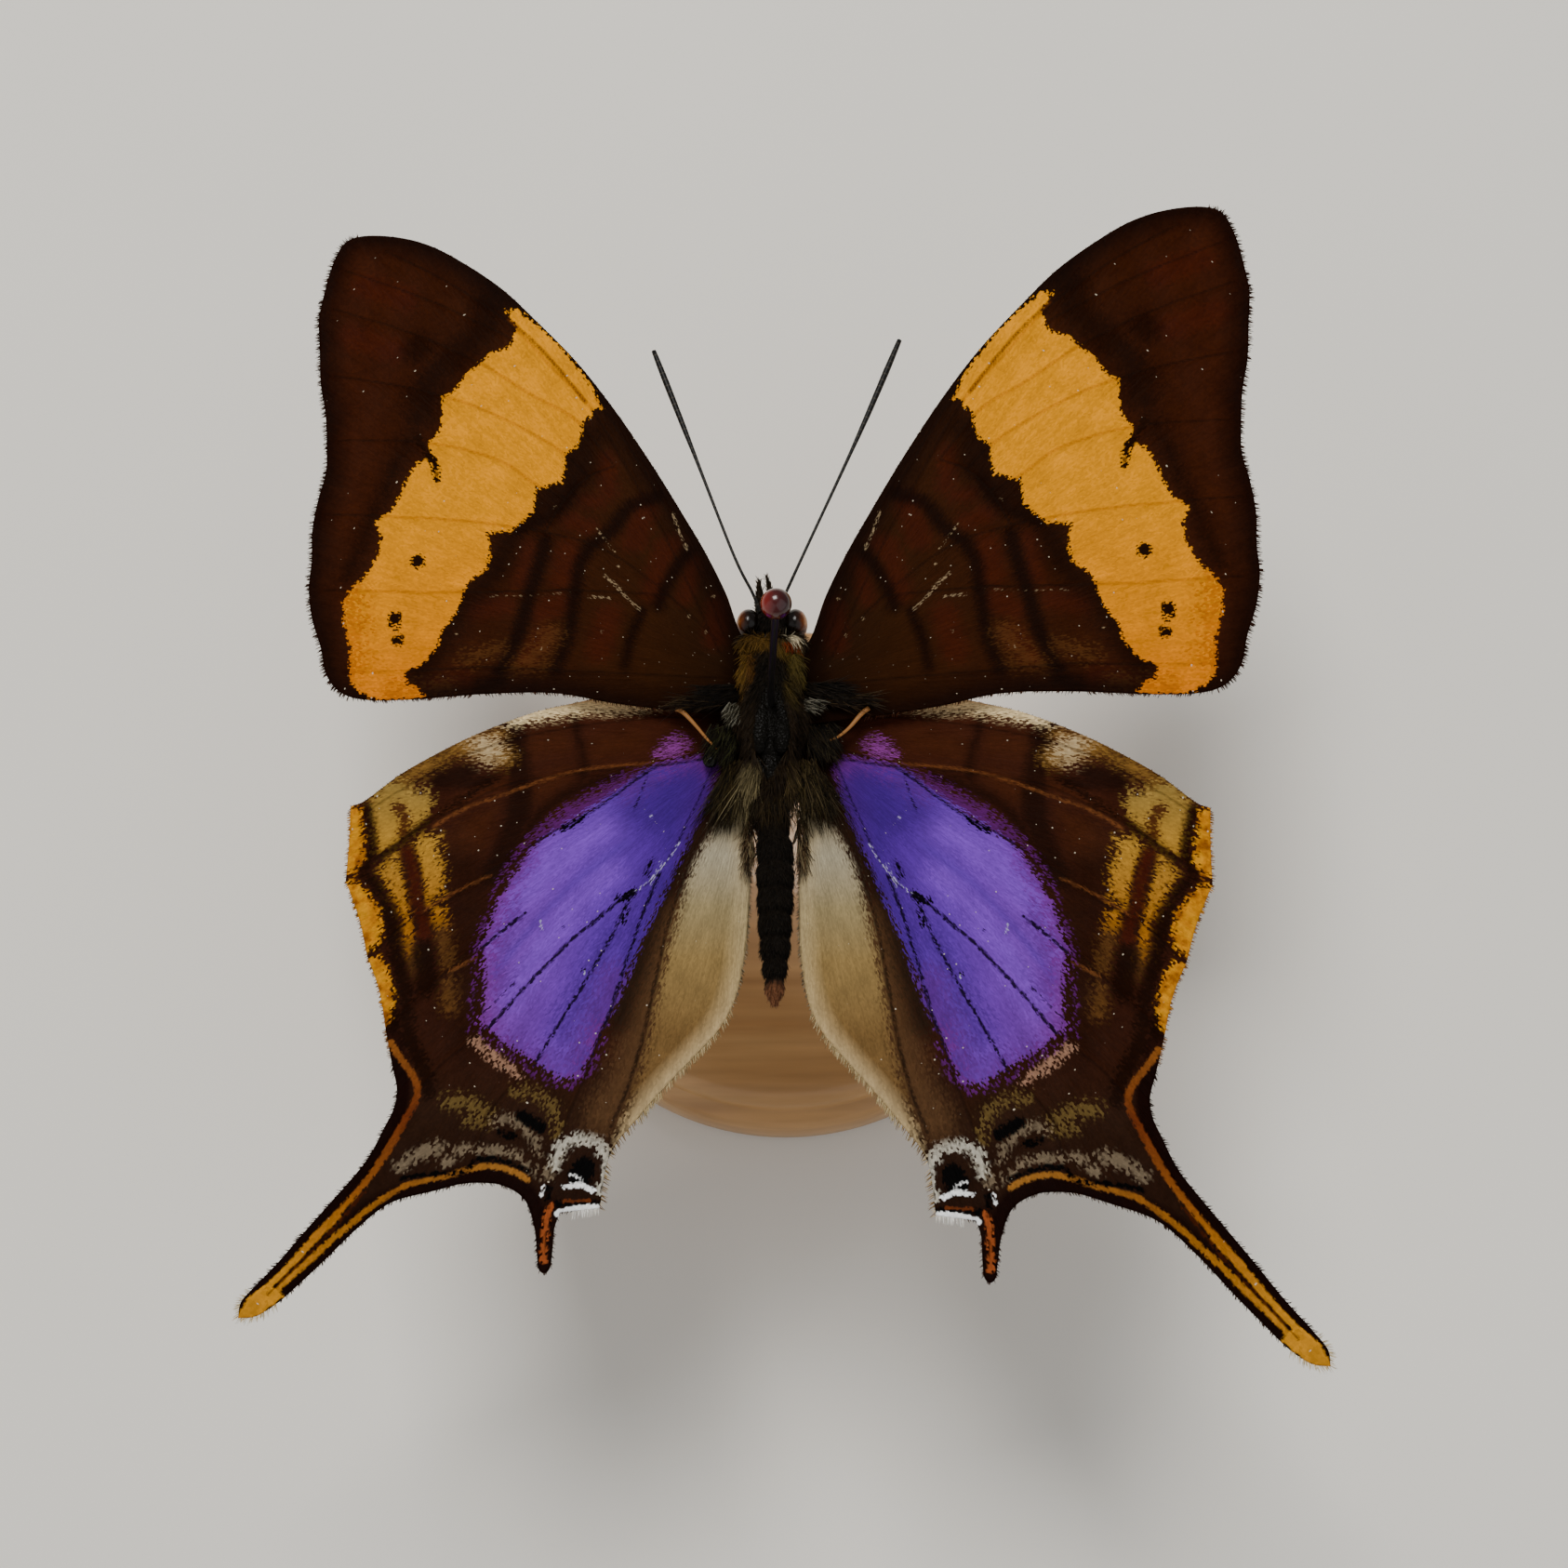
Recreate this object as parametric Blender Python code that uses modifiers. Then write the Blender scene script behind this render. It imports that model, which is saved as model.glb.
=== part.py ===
"""Corinna daggerwing, set on an insect pin in a small display base.

Life size, in metres, +Z up. The origin is the centre of the underside of the
base. The head points to -Y, so the butterfly's own left wings are at +X.
"""

import math

import bmesh
import bpy
from mathutils import Vector
from mathutils.geometry import delaunay_2d_cdt

MM = 0.001

# Heights and display fittings, in millimetres
GAP = 0.3
WING_Z = 27.0            # height of the wing roots over the base's underside
BASE_RADIUS = 14.0
BASE_HEIGHT = 5.0
BASE_EDGE = 0.7
PIN_RADIUS = 0.25
PIN_Y = 0.5              # where the pin passes through the thorax
PIN_FOOT_Z = 1.5
BORE_RADIUS = PIN_RADIUS + GAP
BALL_RADIUS = 0.66
BALL_Z = WING_Z + 12.4

# Wings, in millimetres
MEMBRANE = 0.5           # thickness between the veins
VEIN_THICKNESS = 0.85    # thickness on the crest of a strong vein
VEIN_HALF_WIDTH = 0.34
ROOT_X = 1.5             # line on each side about which the wings droop
FORE_LIFT = 0.57         # the forewing lies over the hindwing
HIND_DROP = 0.57
ARCH = 0.5               # rise of the wing between root and tip
ARCH_SPAN = 22.0
FOLD_DROP = 0.75         # the hindwing's inner edge turns down by the abdomen
DROOP_LEFT = -6.5        # degrees, negative is below level
DROOP_RIGHT = -3.1
FORE_HINGE = (1.8, -1.4)
HIND_HINGE = (1.8, 1.8)
FORE_SWEEP = 0.2         # degrees forward on the right, back on the left
HIND_SWEEP = -0.8

# Outlines run once round each wing as (outward, tailward) millimetres.
# A third value marks a corner.
FORE_OUTLINE = [
    (1.62, -3.10, 1), (2.34, -5.50), (3.21, -7.47), (4.10, -9.23), (5.88, -12.49),
    (7.70, -15.49), (9.53, -18.09), (11.41, -20.30), (13.29, -22.37), (15.22, -23.99),
    (17.10, -25.27), (18.97, -26.01), (20.87, -26.26), (21.59, -25.99),
    (22.09, -24.98), (22.44, -23.38), (22.64, -21.72), (22.50, -20.07), (22.30, -18.01),
    (21.96, -16.41), (21.77, -14.48), (21.72, -13.20), (22.00, -11.82), (22.20, -10.08),
    (22.12, -8.53), (22.16, -7.06), (21.89, -5.50), (21.38, -4.03), (20.99, -2.57),
    (20.44, -1.79), (19.80, -1.38), (18.93, -1.15), (16.77, -1.01), (13.29, -1.04),
    (9.90, -0.88), (7.33, -0.29), (3.99, 0.25), (1.92, 0.55, 1), (1.90, -1.2),
]
HIND_OUTLINE = [
    (1.92, -0.60, 1), (3.67, -1.30), (6.42, -1.19), (9.35, -0.64), (11.00, -0.27),
    (13.02, 0.44), (14.85, 1.26), (17.14, 2.52), (18.88, 3.80), (19.36, 4.08, 1),
    (19.30, 5.62), (19.11, 7.61), (18.56, 9.42), (17.92, 11.14), (17.54, 12.72),
    (16.91, 14.30), (16.34, 15.77), (16.01, 17.08), (16.13, 18.24), (16.53, 19.07),
    (17.28, 20.29), (18.01, 21.27), (18.94, 22.39), (20.10, 23.78), (21.52, 25.52),
    (22.60, 26.72), (23.15, 27.45), (23.20, 28.08, 1), (22.50, 28.02), (21.57, 27.46),
    (20.50, 26.46), (19.30, 25.26), (17.88, 23.78), (16.34, 22.50), (14.21, 21.82),
    (13.02, 21.50), (12.01, 21.47), (11.25, 21.59), (10.30, 22.20), (9.80, 23.30),
    (9.62, 24.50), (9.34, 25.32, 1), (9.02, 24.50), (8.82, 23.40), (8.21, 22.60, 1),
    (7.08, 22.57, 1), (6.69, 20.17),
    (5.55, 18.61), (4.49, 17.32), (3.35, 16.04), (2.38, 14.85), (1.80, 13.66),
    (1.50, 12.47), (1.28, 10.77), (1.20, 8.98), (1.20, 7.15), (1.35, 5.60),
    (1.88, 3.80, 1), (1.92, 1.80),
]

# Main veins of each wing, root to margin, in the same millimetres
FORE_VEINS = {
    "subcosta": [(2.3, -3.4), (3.3, -6.3), (5.2, -10.3), (7.1, -13.7), (8.5, -16.0)],
    "radius": [(2.5, -2.6), (5.0, -8.4), (7.2, -12.7), (8.9, -15.7), (10.6, -17.7),
               (12.8, -20.3), (16.2, -23.1), (19.4, -25.2)],
    "radius_4": [(12.8, -19.6), (16.8, -22.0), (21.4, -24.3)],
    "media_1": [(7.5, -12.3), (9.5, -14.9), (11.7, -16.4), (13.8, -18.0),
                (17.5, -20.2), (21.9, -22.2)],
    "media_2": [(8.7, -11.8), (10.2, -13.3), (12.2, -14.7), (14.5, -16.0),
                (18.0, -17.4), (21.6, -18.4)],
    "media_3": [(9.8, -10.7), (11.3, -11.6), (12.8, -12.8), (15.2, -13.8),
                (18.4, -14.5), (21.1, -14.8)],
    "cell_end": [(7.5, -12.3), (8.7, -11.8), (9.8, -10.7), (10.7, -9.0)],
    "cubitus_1": [(2.6, -3.2), (5.6, -6.2), (8.0, -8.0), (10.7, -9.0), (14.3, -9.8),
                  (18.7, -10.5), (21.6, -10.9)],
    "cubitus_2": [(4.9, -5.5), (8.8, -5.9), (13.3, -6.1), (17.2, -6.4), (21.4, -6.9)],
    "anal_2": [(2.6, -1.3), (9.3, -1.9), (13.2, -2.3), (17.5, -2.4), (20.0, -2.6)],
}
HIND_VEINS = {
    "subcosta": [(2.6, 0.2), (5.5, 0.2), (9.5, 0.6), (13.4, 1.5), (17.0, 3.3), (18.7, 4.4)],
    "radius_s": [(2.7, 1.7), (5.3, 2.4), (8.8, 2.8), (12.1, 3.3), (14.2, 4.3),
                 (16.1, 5.3), (18.7, 7.1)],
    "media_1": [(5.3, 2.4), (9.0, 5.2), (11.4, 6.6), (14.7, 8.9), (16.3, 9.7), (17.6, 10.9)],
    "media_2": [(5.8, 3.2), (6.5, 4.9), (8.9, 7.6), (11.6, 9.7), (12.9, 10.7),
                (15.1, 12.8), (16.5, 14.1)],
    "media_3": [(4.6, 6.8), (6.5, 8.6), (9.3, 11.0), (10.8, 12.7), (12.5, 14.8),
                (14.6, 16.6), (16.2, 19.4), (18.0, 22.5), (20.2, 25.1), (22.0, 27.0)],
    "cubitus_1": [(6.5, 8.6), (8.0, 11.8), (9.2, 14.1), (10.5, 16.5), (12.0, 18.5),
                  (12.6, 20.9)],
    "cubitus_2": [(2.7, 2.3), (4.2, 6.0), (5.2, 7.8), (5.9, 10.3), (7.0, 13.8),
                  (7.9, 16.8), (9.0, 20.1), (9.25, 24.2)],
    "anal_2": [(2.3, 3.4), (3.6, 7.6), (4.8, 11.9), (5.7, 17.2), (7.1, 21.4)],
}

COLLECTION_NAME = "corinna_daggerwing"


# Scene and materials

def clear_scene():
    for obj in list(bpy.data.objects):
        bpy.data.objects.remove(obj, do_unlink=True)


def new_collection(name):
    collection = bpy.data.collections.new(name)
    bpy.context.scene.collection.children.link(collection)
    return collection


def material(name, colour, roughness, metallic=0.0):
    mat = bpy.data.materials.new(name)
    mat.use_nodes = True
    shader = mat.node_tree.nodes["Principled BSDF"]
    shader.inputs["Base Color"].default_value = (*colour, 1.0)
    shader.inputs["Roughness"].default_value = roughness
    shader.inputs["Metallic"].default_value = metallic
    return mat


def adopt(obj, name, mat, smooth=True):
    """Name an object, give it its material and put it in the part."""
    obj.name = name
    obj.data.name = name
    obj.data.materials.clear()
    obj.data.materials.append(mat)
    for collection in list(obj.users_collection):
        collection.objects.unlink(obj)
    PART.objects.link(obj)
    if smooth:
        obj.data.shade_smooth()
    return obj


def object_from_bmesh(bm, name):
    mesh = bpy.data.meshes.new(name)
    bm.to_mesh(mesh)
    bm.free()
    obj = bpy.data.objects.new(name, mesh)
    bpy.context.scene.collection.objects.link(obj)
    return obj


def cut(obj, cutter):
    """Cut a guide body out of an object, and keep the guide out of the part."""
    for collection in list(cutter.users_collection):
        collection.objects.unlink(cutter)
    CUTTERS.objects.link(cutter)
    cutter.hide_render = True
    cutter.display_type = "WIRE"
    modifier = obj.modifiers.new("cut_" + cutter.name, "BOOLEAN")
    modifier.operation = "DIFFERENCE"
    modifier.object = cutter


# Body shapes

def loft(name, sections, sides=20):
    """Close a body over cross-sections (y, half width, top z, bottom z)."""
    bm = bmesh.new()
    rings = []
    for y, half, top, bottom in sections:
        middle = (top + bottom) / 2
        ring = []
        for i in range(sides):
            angle = 2 * math.pi * i / sides
            x = half * math.cos(angle)
            z = middle + (top - bottom) / 2 * math.sin(angle)
            ring.append(bm.verts.new((x * MM, y * MM, (WING_Z + z) * MM)))
        rings.append(ring)
    for ring, following in zip(rings, rings[1:]):
        for i in range(sides):
            j = (i + 1) % sides
            bm.faces.new((ring[i], ring[j], following[j], following[i]))
    bm.faces.new(rings[0])
    bm.faces.new(rings[-1])
    bmesh.ops.recalc_face_normals(bm, faces=bm.faces)
    bmesh.ops.triangulate(bm, faces=[f for f in bm.faces if len(f.verts) > 4])
    return object_from_bmesh(bm, name)


def ball(name, centre, radii, segments=16, rings=10):
    """An ellipsoid about a point given from the wing roots' level."""
    bm = bmesh.new()
    bmesh.ops.create_uvsphere(bm, u_segments=segments, v_segments=rings, radius=1.0)
    for vert in bm.verts:
        vert.co = Vector([(centre[k] + vert.co[k] * radii[k]) * MM for k in range(3)])
        vert.co.z += WING_Z * MM
    return object_from_bmesh(bm, name)


def cylinder(name, radius, z_low, z_high, y=0.0, segments=24):
    bpy.ops.mesh.primitive_cylinder_add(
        vertices=segments, radius=radius * MM, depth=(z_high - z_low) * MM,
        location=(0, y * MM, (z_low + z_high) / 2 * MM))
    obj = bpy.context.object
    obj.name = name
    return obj


def limb(name, points, radii, resolution=2, steps=4):
    """A tapering limb along a smooth path of points from the wing roots' level."""
    path = smooth_path([Vector(p) for p in points], steps)
    curve = bpy.data.curves.new(name, "CURVE")
    curve.dimensions = "3D"
    curve.bevel_depth = MM
    curve.bevel_resolution = resolution
    curve.use_fill_caps = True
    line = curve.splines.new("POLY")
    line.points.add(len(path) - 1)
    for i, point in enumerate(path):
        place = i / (len(path) - 1) * (len(radii) - 1)
        low = min(int(place), len(radii) - 2)
        radius = radii[low] + (radii[low + 1] - radii[low]) * (place - low)
        line.points[i].co = (point.x * MM, point.y * MM, (WING_Z + point.z) * MM, 1)
        line.points[i].radius = radius
    guide = bpy.data.objects.new(name, curve)
    bpy.context.scene.collection.objects.link(guide)
    bpy.context.view_layer.update()
    evaluated = guide.evaluated_get(bpy.context.evaluated_depsgraph_get())
    mesh = bpy.data.meshes.new_from_object(evaluated)
    bm = bmesh.new()
    bm.from_mesh(mesh)
    bmesh.ops.remove_doubles(bm, verts=bm.verts, dist=1e-6)
    bmesh.ops.recalc_face_normals(bm, faces=bm.faces)
    obj = object_from_bmesh(bm, name)
    obj.matrix_world = guide.matrix_world
    bpy.data.objects.remove(guide, do_unlink=True)
    return obj


def smooth_path(points, steps):
    """A Catmull-Rom path through open points."""
    path = []
    last = len(points) - 1
    for i in range(last):
        p0 = points[max(i - 1, 0)]
        p1 = points[i]
        p2 = points[i + 1]
        p3 = points[min(i + 2, last)]
        for k in range(steps):
            t = k / steps
            path.append(0.5 * ((2 * p1) + (p2 - p0) * t
                               + (2 * p0 - 5 * p1 + 4 * p2 - p3) * t * t
                               + (3 * p1 - p0 - 3 * p2 + p3) * t ** 3))
    path.append(points[last])
    return path


def join(obj, pieces):
    """Fuse closed pieces into an object and keep its largest closed surface."""
    group = bpy.data.collections.new("joined_" + obj.name)
    bpy.context.scene.collection.children.link(group)
    for piece in pieces:
        for collection in list(piece.users_collection):
            collection.objects.unlink(piece)
        group.objects.link(piece)
    modifier = obj.modifiers.new("join", "BOOLEAN")
    modifier.operation = "UNION"
    modifier.operand_type = "COLLECTION"
    modifier.collection = group
    bpy.context.view_layer.update()
    evaluated = obj.evaluated_get(bpy.context.evaluated_depsgraph_get())
    mesh = bpy.data.meshes.new_from_object(evaluated)
    obj.modifiers.clear()
    obj.data = mesh
    for piece in pieces:
        bpy.data.objects.remove(piece, do_unlink=True)
    bpy.data.collections.remove(group)
    keep_largest(obj.data)


def keep_largest(mesh):
    bm = bmesh.new()
    bm.from_mesh(mesh)
    bmesh.ops.remove_doubles(bm, verts=bm.verts, dist=1e-7)
    unseen = set(bm.verts)
    shells = []
    while unseen:
        stack = [unseen.pop()]
        shell = set(stack)
        while stack:
            for edge in stack.pop().link_edges:
                for vert in edge.verts:
                    if vert in unseen:
                        unseen.discard(vert)
                        shell.add(vert)
                        stack.append(vert)
        shells.append(shell)
    shells.sort(key=len)
    for shell in shells[:-1]:
        bmesh.ops.delete(bm, geom=list(shell), context="VERTS")
    bm.to_mesh(mesh)
    bm.free()


# Wings

def smooth_outline(points, step):
    """A closed centripetal spline through the points that stops at corners."""
    count = len(points)
    line = []
    for i in range(count):
        p1 = Vector(points[i][:2])
        p2 = Vector(points[(i + 1) % count][:2])
        p0 = Vector(points[i - 1][:2])
        p3 = Vector(points[(i + 2) % count][:2])
        if len(points[i]) > 2:
            p0 = 2 * p1 - p2
        if len(points[(i + 1) % count]) > 2:
            p3 = 2 * p2 - p1
        t0 = 0.0
        t1 = t0 + math.sqrt((p1 - p0).length)
        t2 = t1 + math.sqrt((p2 - p1).length)
        t3 = t2 + math.sqrt((p3 - p2).length)
        pieces = max(1, round((p2 - p1).length / step))
        for k in range(pieces):
            t = t1 + (t2 - t1) * k / pieces
            a1 = p0 * (t1 - t) / (t1 - t0) + p1 * (t - t0) / (t1 - t0)
            a2 = p1 * (t2 - t) / (t2 - t1) + p2 * (t - t1) / (t2 - t1)
            a3 = p2 * (t3 - t) / (t3 - t2) + p3 * (t - t2) / (t3 - t2)
            b1 = a1 * (t2 - t) / (t2 - t0) + a2 * (t - t0) / (t2 - t0)
            b2 = a2 * (t3 - t) / (t3 - t1) + a3 * (t - t1) / (t3 - t1)
            line.append(b1 * (t2 - t) / (t2 - t1) + b2 * (t - t1) / (t2 - t1))
    return line


def inside(point, line):
    """Whether a point is within a closed line."""
    result = False
    for a, b in zip(line, line[1:] + line[:1]):
        if (a.y > point.y) != (b.y > point.y):
            if point.x < a.x + (point.y - a.y) / (b.y - a.y) * (b.x - a.x):
                result = not result
    return result


def distance(point, a, b):
    along = b - a
    t = max(0.0, min(1.0, (point - a).dot(along) / max(along.length_squared, 1e-12)))
    return (point - a - along * t).length


def clearance(point, runs):
    return min(distance(point, a, b) for run in runs for a, b in zip(run, run[1:]))


def fore_height(out, tailward):
    return FORE_LIFT + ARCH * math.sin(math.pi * min(out / ARCH_SPAN, 1.0))


def hind_height(out, tailward):
    rise = ARCH * math.sin(math.pi * min(out / ARCH_SPAN, 1.0))
    edge = max(0.0, min(1.0, (3.4 - out) / 2.2)) * max(0.0, min(1.0, (tailward - 3.6) / 2.0))
    return rise - HIND_DROP - FOLD_DROP * edge * edge


def wing(name, side, outline, veins, height, hinge, droop, sweep, mat):
    """One wing: a veined sheet on its hinge, thickened into a closed solid."""
    rim = smooth_outline(outline, 1.3)
    closed_rim = rim + rim[:1]
    crests = [smooth_run(points, 1.7) for points in veins.values()]
    points = list(rim)
    edges = [(i, (i + 1) % len(rim)) for i in range(len(rim))]
    for run in crests:
        first = len(points)
        points.extend(run)
        edges.extend((first + i, first + i + 1) for i in range(len(run) - 1))
    flanks = []
    for run in crests:
        for before, here, after in zip(run[:1] + run[:-1], run, run[1:] + run[-1:]):
            along = (after - before).normalized()
            across = Vector((-along.y, along.x)) * VEIN_HALF_WIDTH
            for spot in (here + across, here - across):
                if clearance(spot, crests) < VEIN_HALF_WIDTH * 0.8:
                    continue
                if not inside(spot, rim) or clearance(spot, [closed_rim]) < 0.3:
                    continue
                if flanks and min((spot - other).length for other in flanks) < 0.35:
                    continue
                flanks.append(spot)
    points.extend(flanks)
    spacing = 2.1
    for row in range(-16, 18):
        for column in range(0, 14):
            spot = Vector(((column + 0.5 * (row % 2)) * spacing, row * spacing * 0.87))
            if not inside(spot, rim) or clearance(spot, [closed_rim]) < 0.8:
                continue
            if clearance(spot, crests) > 0.8:
                points.append(spot)
    verts, _, faces, _, _, _ = delaunay_2d_cdt(points, edges, [], 1, 1e-4)
    bm = bmesh.new()
    placed = []
    for vert in verts:
        z = height(vert.x, vert.y)
        place = (side * (vert.x - hinge[0]) * MM, (vert.y - hinge[1]) * MM, z * MM)
        placed.append(bm.verts.new(place))
    for face in faces:
        bm.faces.new([placed[i] for i in (face if side > 0 else reversed(face))])
    for vert in [v for v in bm.verts if not v.link_faces]:
        bm.verts.remove(vert)
    bm.verts.index_update()
    obj = object_from_bmesh(bm, name)
    group = obj.vertex_groups.new(name="veins")
    for vert in obj.data.vertices:
        spot = Vector((side * vert.co.x / MM + hinge[0], vert.co.y / MM + hinge[1]))
        weight = max(0.0, 1.0 - clearance(spot, crests) / (VEIN_HALF_WIDTH * 0.9))
        reach = min(1.0, clearance(spot, [closed_rim]) / 1.2)
        group.add([vert.index], weight * (0.4 + 0.6 * reach), "REPLACE")
    solid = obj.modifiers.new("thickness", "SOLIDIFY")
    solid.thickness = VEIN_THICKNESS * MM
    solid.offset = 0.0
    solid.vertex_group = "veins"
    solid.thickness_vertex_group = MEMBRANE / VEIN_THICKNESS
    reach = hinge[0] - ROOT_X
    tilt = math.radians(droop)
    obj.rotation_mode = "ZYX"
    obj.rotation_euler = (0, -side * tilt, -side * math.radians(sweep))
    obj.location = (side * (ROOT_X + reach * math.cos(tilt)) * MM, hinge[1] * MM,
                    (WING_Z + reach * math.sin(tilt)) * MM)
    return adopt(obj, name, mat)


def smooth_run(points, step):
    """A vein's crest as points about one step apart."""
    fine = smooth_path([Vector(p) for p in points], 8)
    run = [fine[0]]
    for point in fine[1:-1]:
        if (point - run[-1]).length >= step:
            run.append(point)
    if (fine[-1] - run[-1]).length < step * 0.4 and len(run) > 1:
        run.pop()
    run.append(fine[-1])
    return run


# The model

clear_scene()
PART = new_collection(COLLECTION_NAME)
CUTTERS = new_collection("cutters")

WOOD = material("pale_maple", (0.62, 0.47, 0.30), 0.5)
STEEL = material("black_enamelled_steel", (0.02, 0.02, 0.022), 0.3, 0.6)
GLASS = material("dark_red_glass", (0.25, 0.01, 0.01), 0.1)
CUTICLE = material("dark_brown_cuticle", (0.03, 0.018, 0.01), 0.45)
EYE = material("dark_eye", (0.02, 0.012, 0.01), 0.1)
HAIRY = material("brown_scaled_body", (0.05, 0.035, 0.02), 0.8)
FORE_BROWN = material("forewing_brown_and_orange", (0.06, 0.02, 0.008), 0.7)
HIND_BROWN = material("hindwing_brown_and_violet", (0.12, 0.05, 0.10), 0.6)

# Display base with a blind hole for the pin
base = cylinder("stand_base", BASE_RADIUS, 0.0, BASE_HEIGHT, segments=64)
edge = base.modifiers.new("soft_edge", "BEVEL")
edge.width = BASE_EDGE * MM
edge.segments = 3
edge.limit_method = "ANGLE"
hole = cylinder("pin_hole", BORE_RADIUS, PIN_FOOT_Z - GAP, BASE_HEIGHT + 2, PIN_Y)
cut(base, hole)
adopt(base, "stand_base", WOOD, smooth=False)

# Insect pin with its glass ball
shaft = cylinder("pin_shaft", PIN_RADIUS, PIN_FOOT_Z, BALL_Z - BALL_RADIUS - GAP, PIN_Y, 16)
adopt(shaft, "pin_shaft", STEEL)
bead = ball("pin_head", (0, PIN_Y, BALL_Z - WING_Z), (BALL_RADIUS,) * 3, 20, 12)
adopt(bead, "pin_head", GLASS)

# Thorax with collar lobes and wing-base plates
thorax = loft("thorax", [
    (-3.30, 0.45, 0.35, -0.75), (-3.10, 0.80, 0.75, -1.15), (-2.60, 1.12, 1.15, -1.70),
    (-1.70, 1.36, 1.55, -2.20), (-0.60, 1.48, 1.80, -2.48), (0.50, 1.52, 1.90, -2.58),
    (1.60, 1.50, 1.82, -2.55), (2.60, 1.38, 1.55, -2.38), (3.40, 1.16, 1.12, -2.05),
    (4.05, 0.85, 0.65, -1.65), (4.40, 0.50, 0.20, -1.20)], 22)
lobes = []
for side in (1, -1):
    lobes.append(ball("collar", (side * 0.48, -2.75, 1.02), (0.46, 0.30, 0.26), 12, 8))
    lobes.append(ball("plate", (side * 1.02, -1.25, 1.30), (0.36, 1.05, 0.30), 12, 8))
    lobes.append(ball("scutum", (side * 0.55, 1.0, 1.55), (0.62, 1.6, 0.50), 12, 8))
join(thorax, lobes)
cut(thorax, cylinder("pin_bore", BORE_RADIUS, WING_Z - 6, WING_Z + 6, PIN_Y, 16))
adopt(thorax, "thorax", HAIRY)

# Abdomen of ringed segments that narrows to the tip
rings = [(4.72, 0.42, 0.05, -1.05)]
ring_starts = [4.95, 6.05, 7.20, 8.35, 9.45, 10.50, 11.45, 12.30]
ring_widths = [0.68, 0.78, 0.80, 0.78, 0.72, 0.64, 0.52, 0.40]
for start, end, half in zip(ring_starts, ring_starts[1:] + [13.05], ring_widths):
    depth = half * 1.18
    centre = -0.42 - 0.035 * (start - 5)
    rings.append((start, half * 0.90, centre + depth * 0.92, centre - depth * 0.92))
    rings.append((start + 0.3 * (end - start), half, centre + depth, centre - depth))
    rings.append((start + 0.9 * (end - start), half * 0.98, centre + depth * 0.97,
                  centre - depth * 0.98))
rings.append((13.15, 0.30, -0.40, -1.05))
rings.append((13.50, 0.14, -0.58, -0.88))
adopt(loft("abdomen", rings, 18), "abdomen", HAIRY)

# Head with sockets, eyes, palps, coiled proboscis and antennae
head = loft("head", [
    (-3.62, 0.42, 0.30, -0.62), (-3.75, 0.72, 0.62, -0.90), (-4.00, 0.88, 0.78, -1.02),
    (-4.30, 0.84, 0.74, -0.98), (-4.58, 0.62, 0.56, -0.82), (-4.72, 0.35, 0.32, -0.58)], 20)
for side, letter in ((1, "l"), (-1, "r")):
    centre = (side * 1.10, -4.05, -0.02)
    radii = (0.56, 0.70, 0.80)
    socket = ball("socket_" + letter, centre, [r + GAP for r in radii], 20, 12)
    cut(head, socket)
    adopt(ball("eye_" + letter, centre, radii, 20, 14), "eye_" + letter, EYE)
adopt(head, "head", HAIRY)

palp_l = limb("palp_l", [(0.42, -5.06, -0.45), (0.62, -5.6, -0.25), (0.66, -6.42, 0.22)],
              [0.25, 0.29, 0.25, 0.10], 2, 3)
adopt(palp_l, "palp_l", HAIRY)
palp_r = limb("palp_r", [(-0.42, -5.06, -0.45), (-0.34, -5.6, -0.25), (-0.02, -6.48, 0.22)],
              [0.25, 0.29, 0.25, 0.10], 2, 3)
adopt(palp_r, "palp_r", HAIRY)

bpy.ops.mesh.primitive_torus_add(
    major_radius=0.40 * MM, minor_radius=0.25 * MM, major_segments=18, minor_segments=10,
    location=(0, -4.95 * MM, (WING_Z - 1.50) * MM), rotation=(0, math.pi / 2, 0))
adopt(bpy.context.object, "proboscis", CUTICLE)

antenna_l = limb("antenna_l", [(0.62, -5.00, 0.95), (1.75, -7.0, 1.25), (3.85, -12.5, 1.45),
                               (5.75, -17.3, 1.6)],
                 [0.25, 0.25, 0.25, 0.25, 0.30, 0.36, 0.28], 2, 5)
adopt(antenna_l, "antenna_l", CUTICLE)
antenna_r = limb("antenna_r", [(-0.62, -5.00, 0.95), (-1.50, -7.1, 1.25), (-3.85, -12.9, 1.45),
                               (-5.70, -17.65, 1.6)],
                 [0.25, 0.25, 0.25, 0.25, 0.30, 0.36, 0.28], 2, 5)
adopt(antenna_r, "antenna_r", CUTICLE)

# Legs folded close under the thorax and the front of the abdomen
for side, letter in ((1, "l"), (-1, "r")):
    paths = {
        "foreleg": [(0.62, -2.10, -2.50), (0.95, -2.75, -2.45), (1.20, -3.20, -2.85),
                    (1.12, -2.95, -3.40), (0.85, -2.10, -3.60), (0.72, -1.20, -3.62)],
        "midleg": [(0.85, -0.10, -3.15), (1.45, -0.95, -3.10), (2.10, -1.35, -3.25),
                   (2.45, -0.85, -3.45), (2.25, 0.30, -3.58), (1.75, 1.80, -3.68),
                   (1.15, 3.90, -3.58), (0.75, 5.30, -3.38)],
        "hindleg": [(1.02, 1.55, -2.90), (1.75, 1.15, -2.70), (2.45, 1.25, -2.55),
                    (2.65, 2.00, -2.60), (2.40, 3.60, -2.75), (1.65, 6.60, -2.85),
                    (1.20, 8.60, -2.75)],
    }
    for leg, path in paths.items():
        points = [(side * x, y, z) for x, y, z in path]
        name = leg + "_" + letter
        adopt(limb(name, points, [0.30, 0.27, 0.25, 0.25, 0.25], 2, 3), name, CUTICLE)

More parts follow.
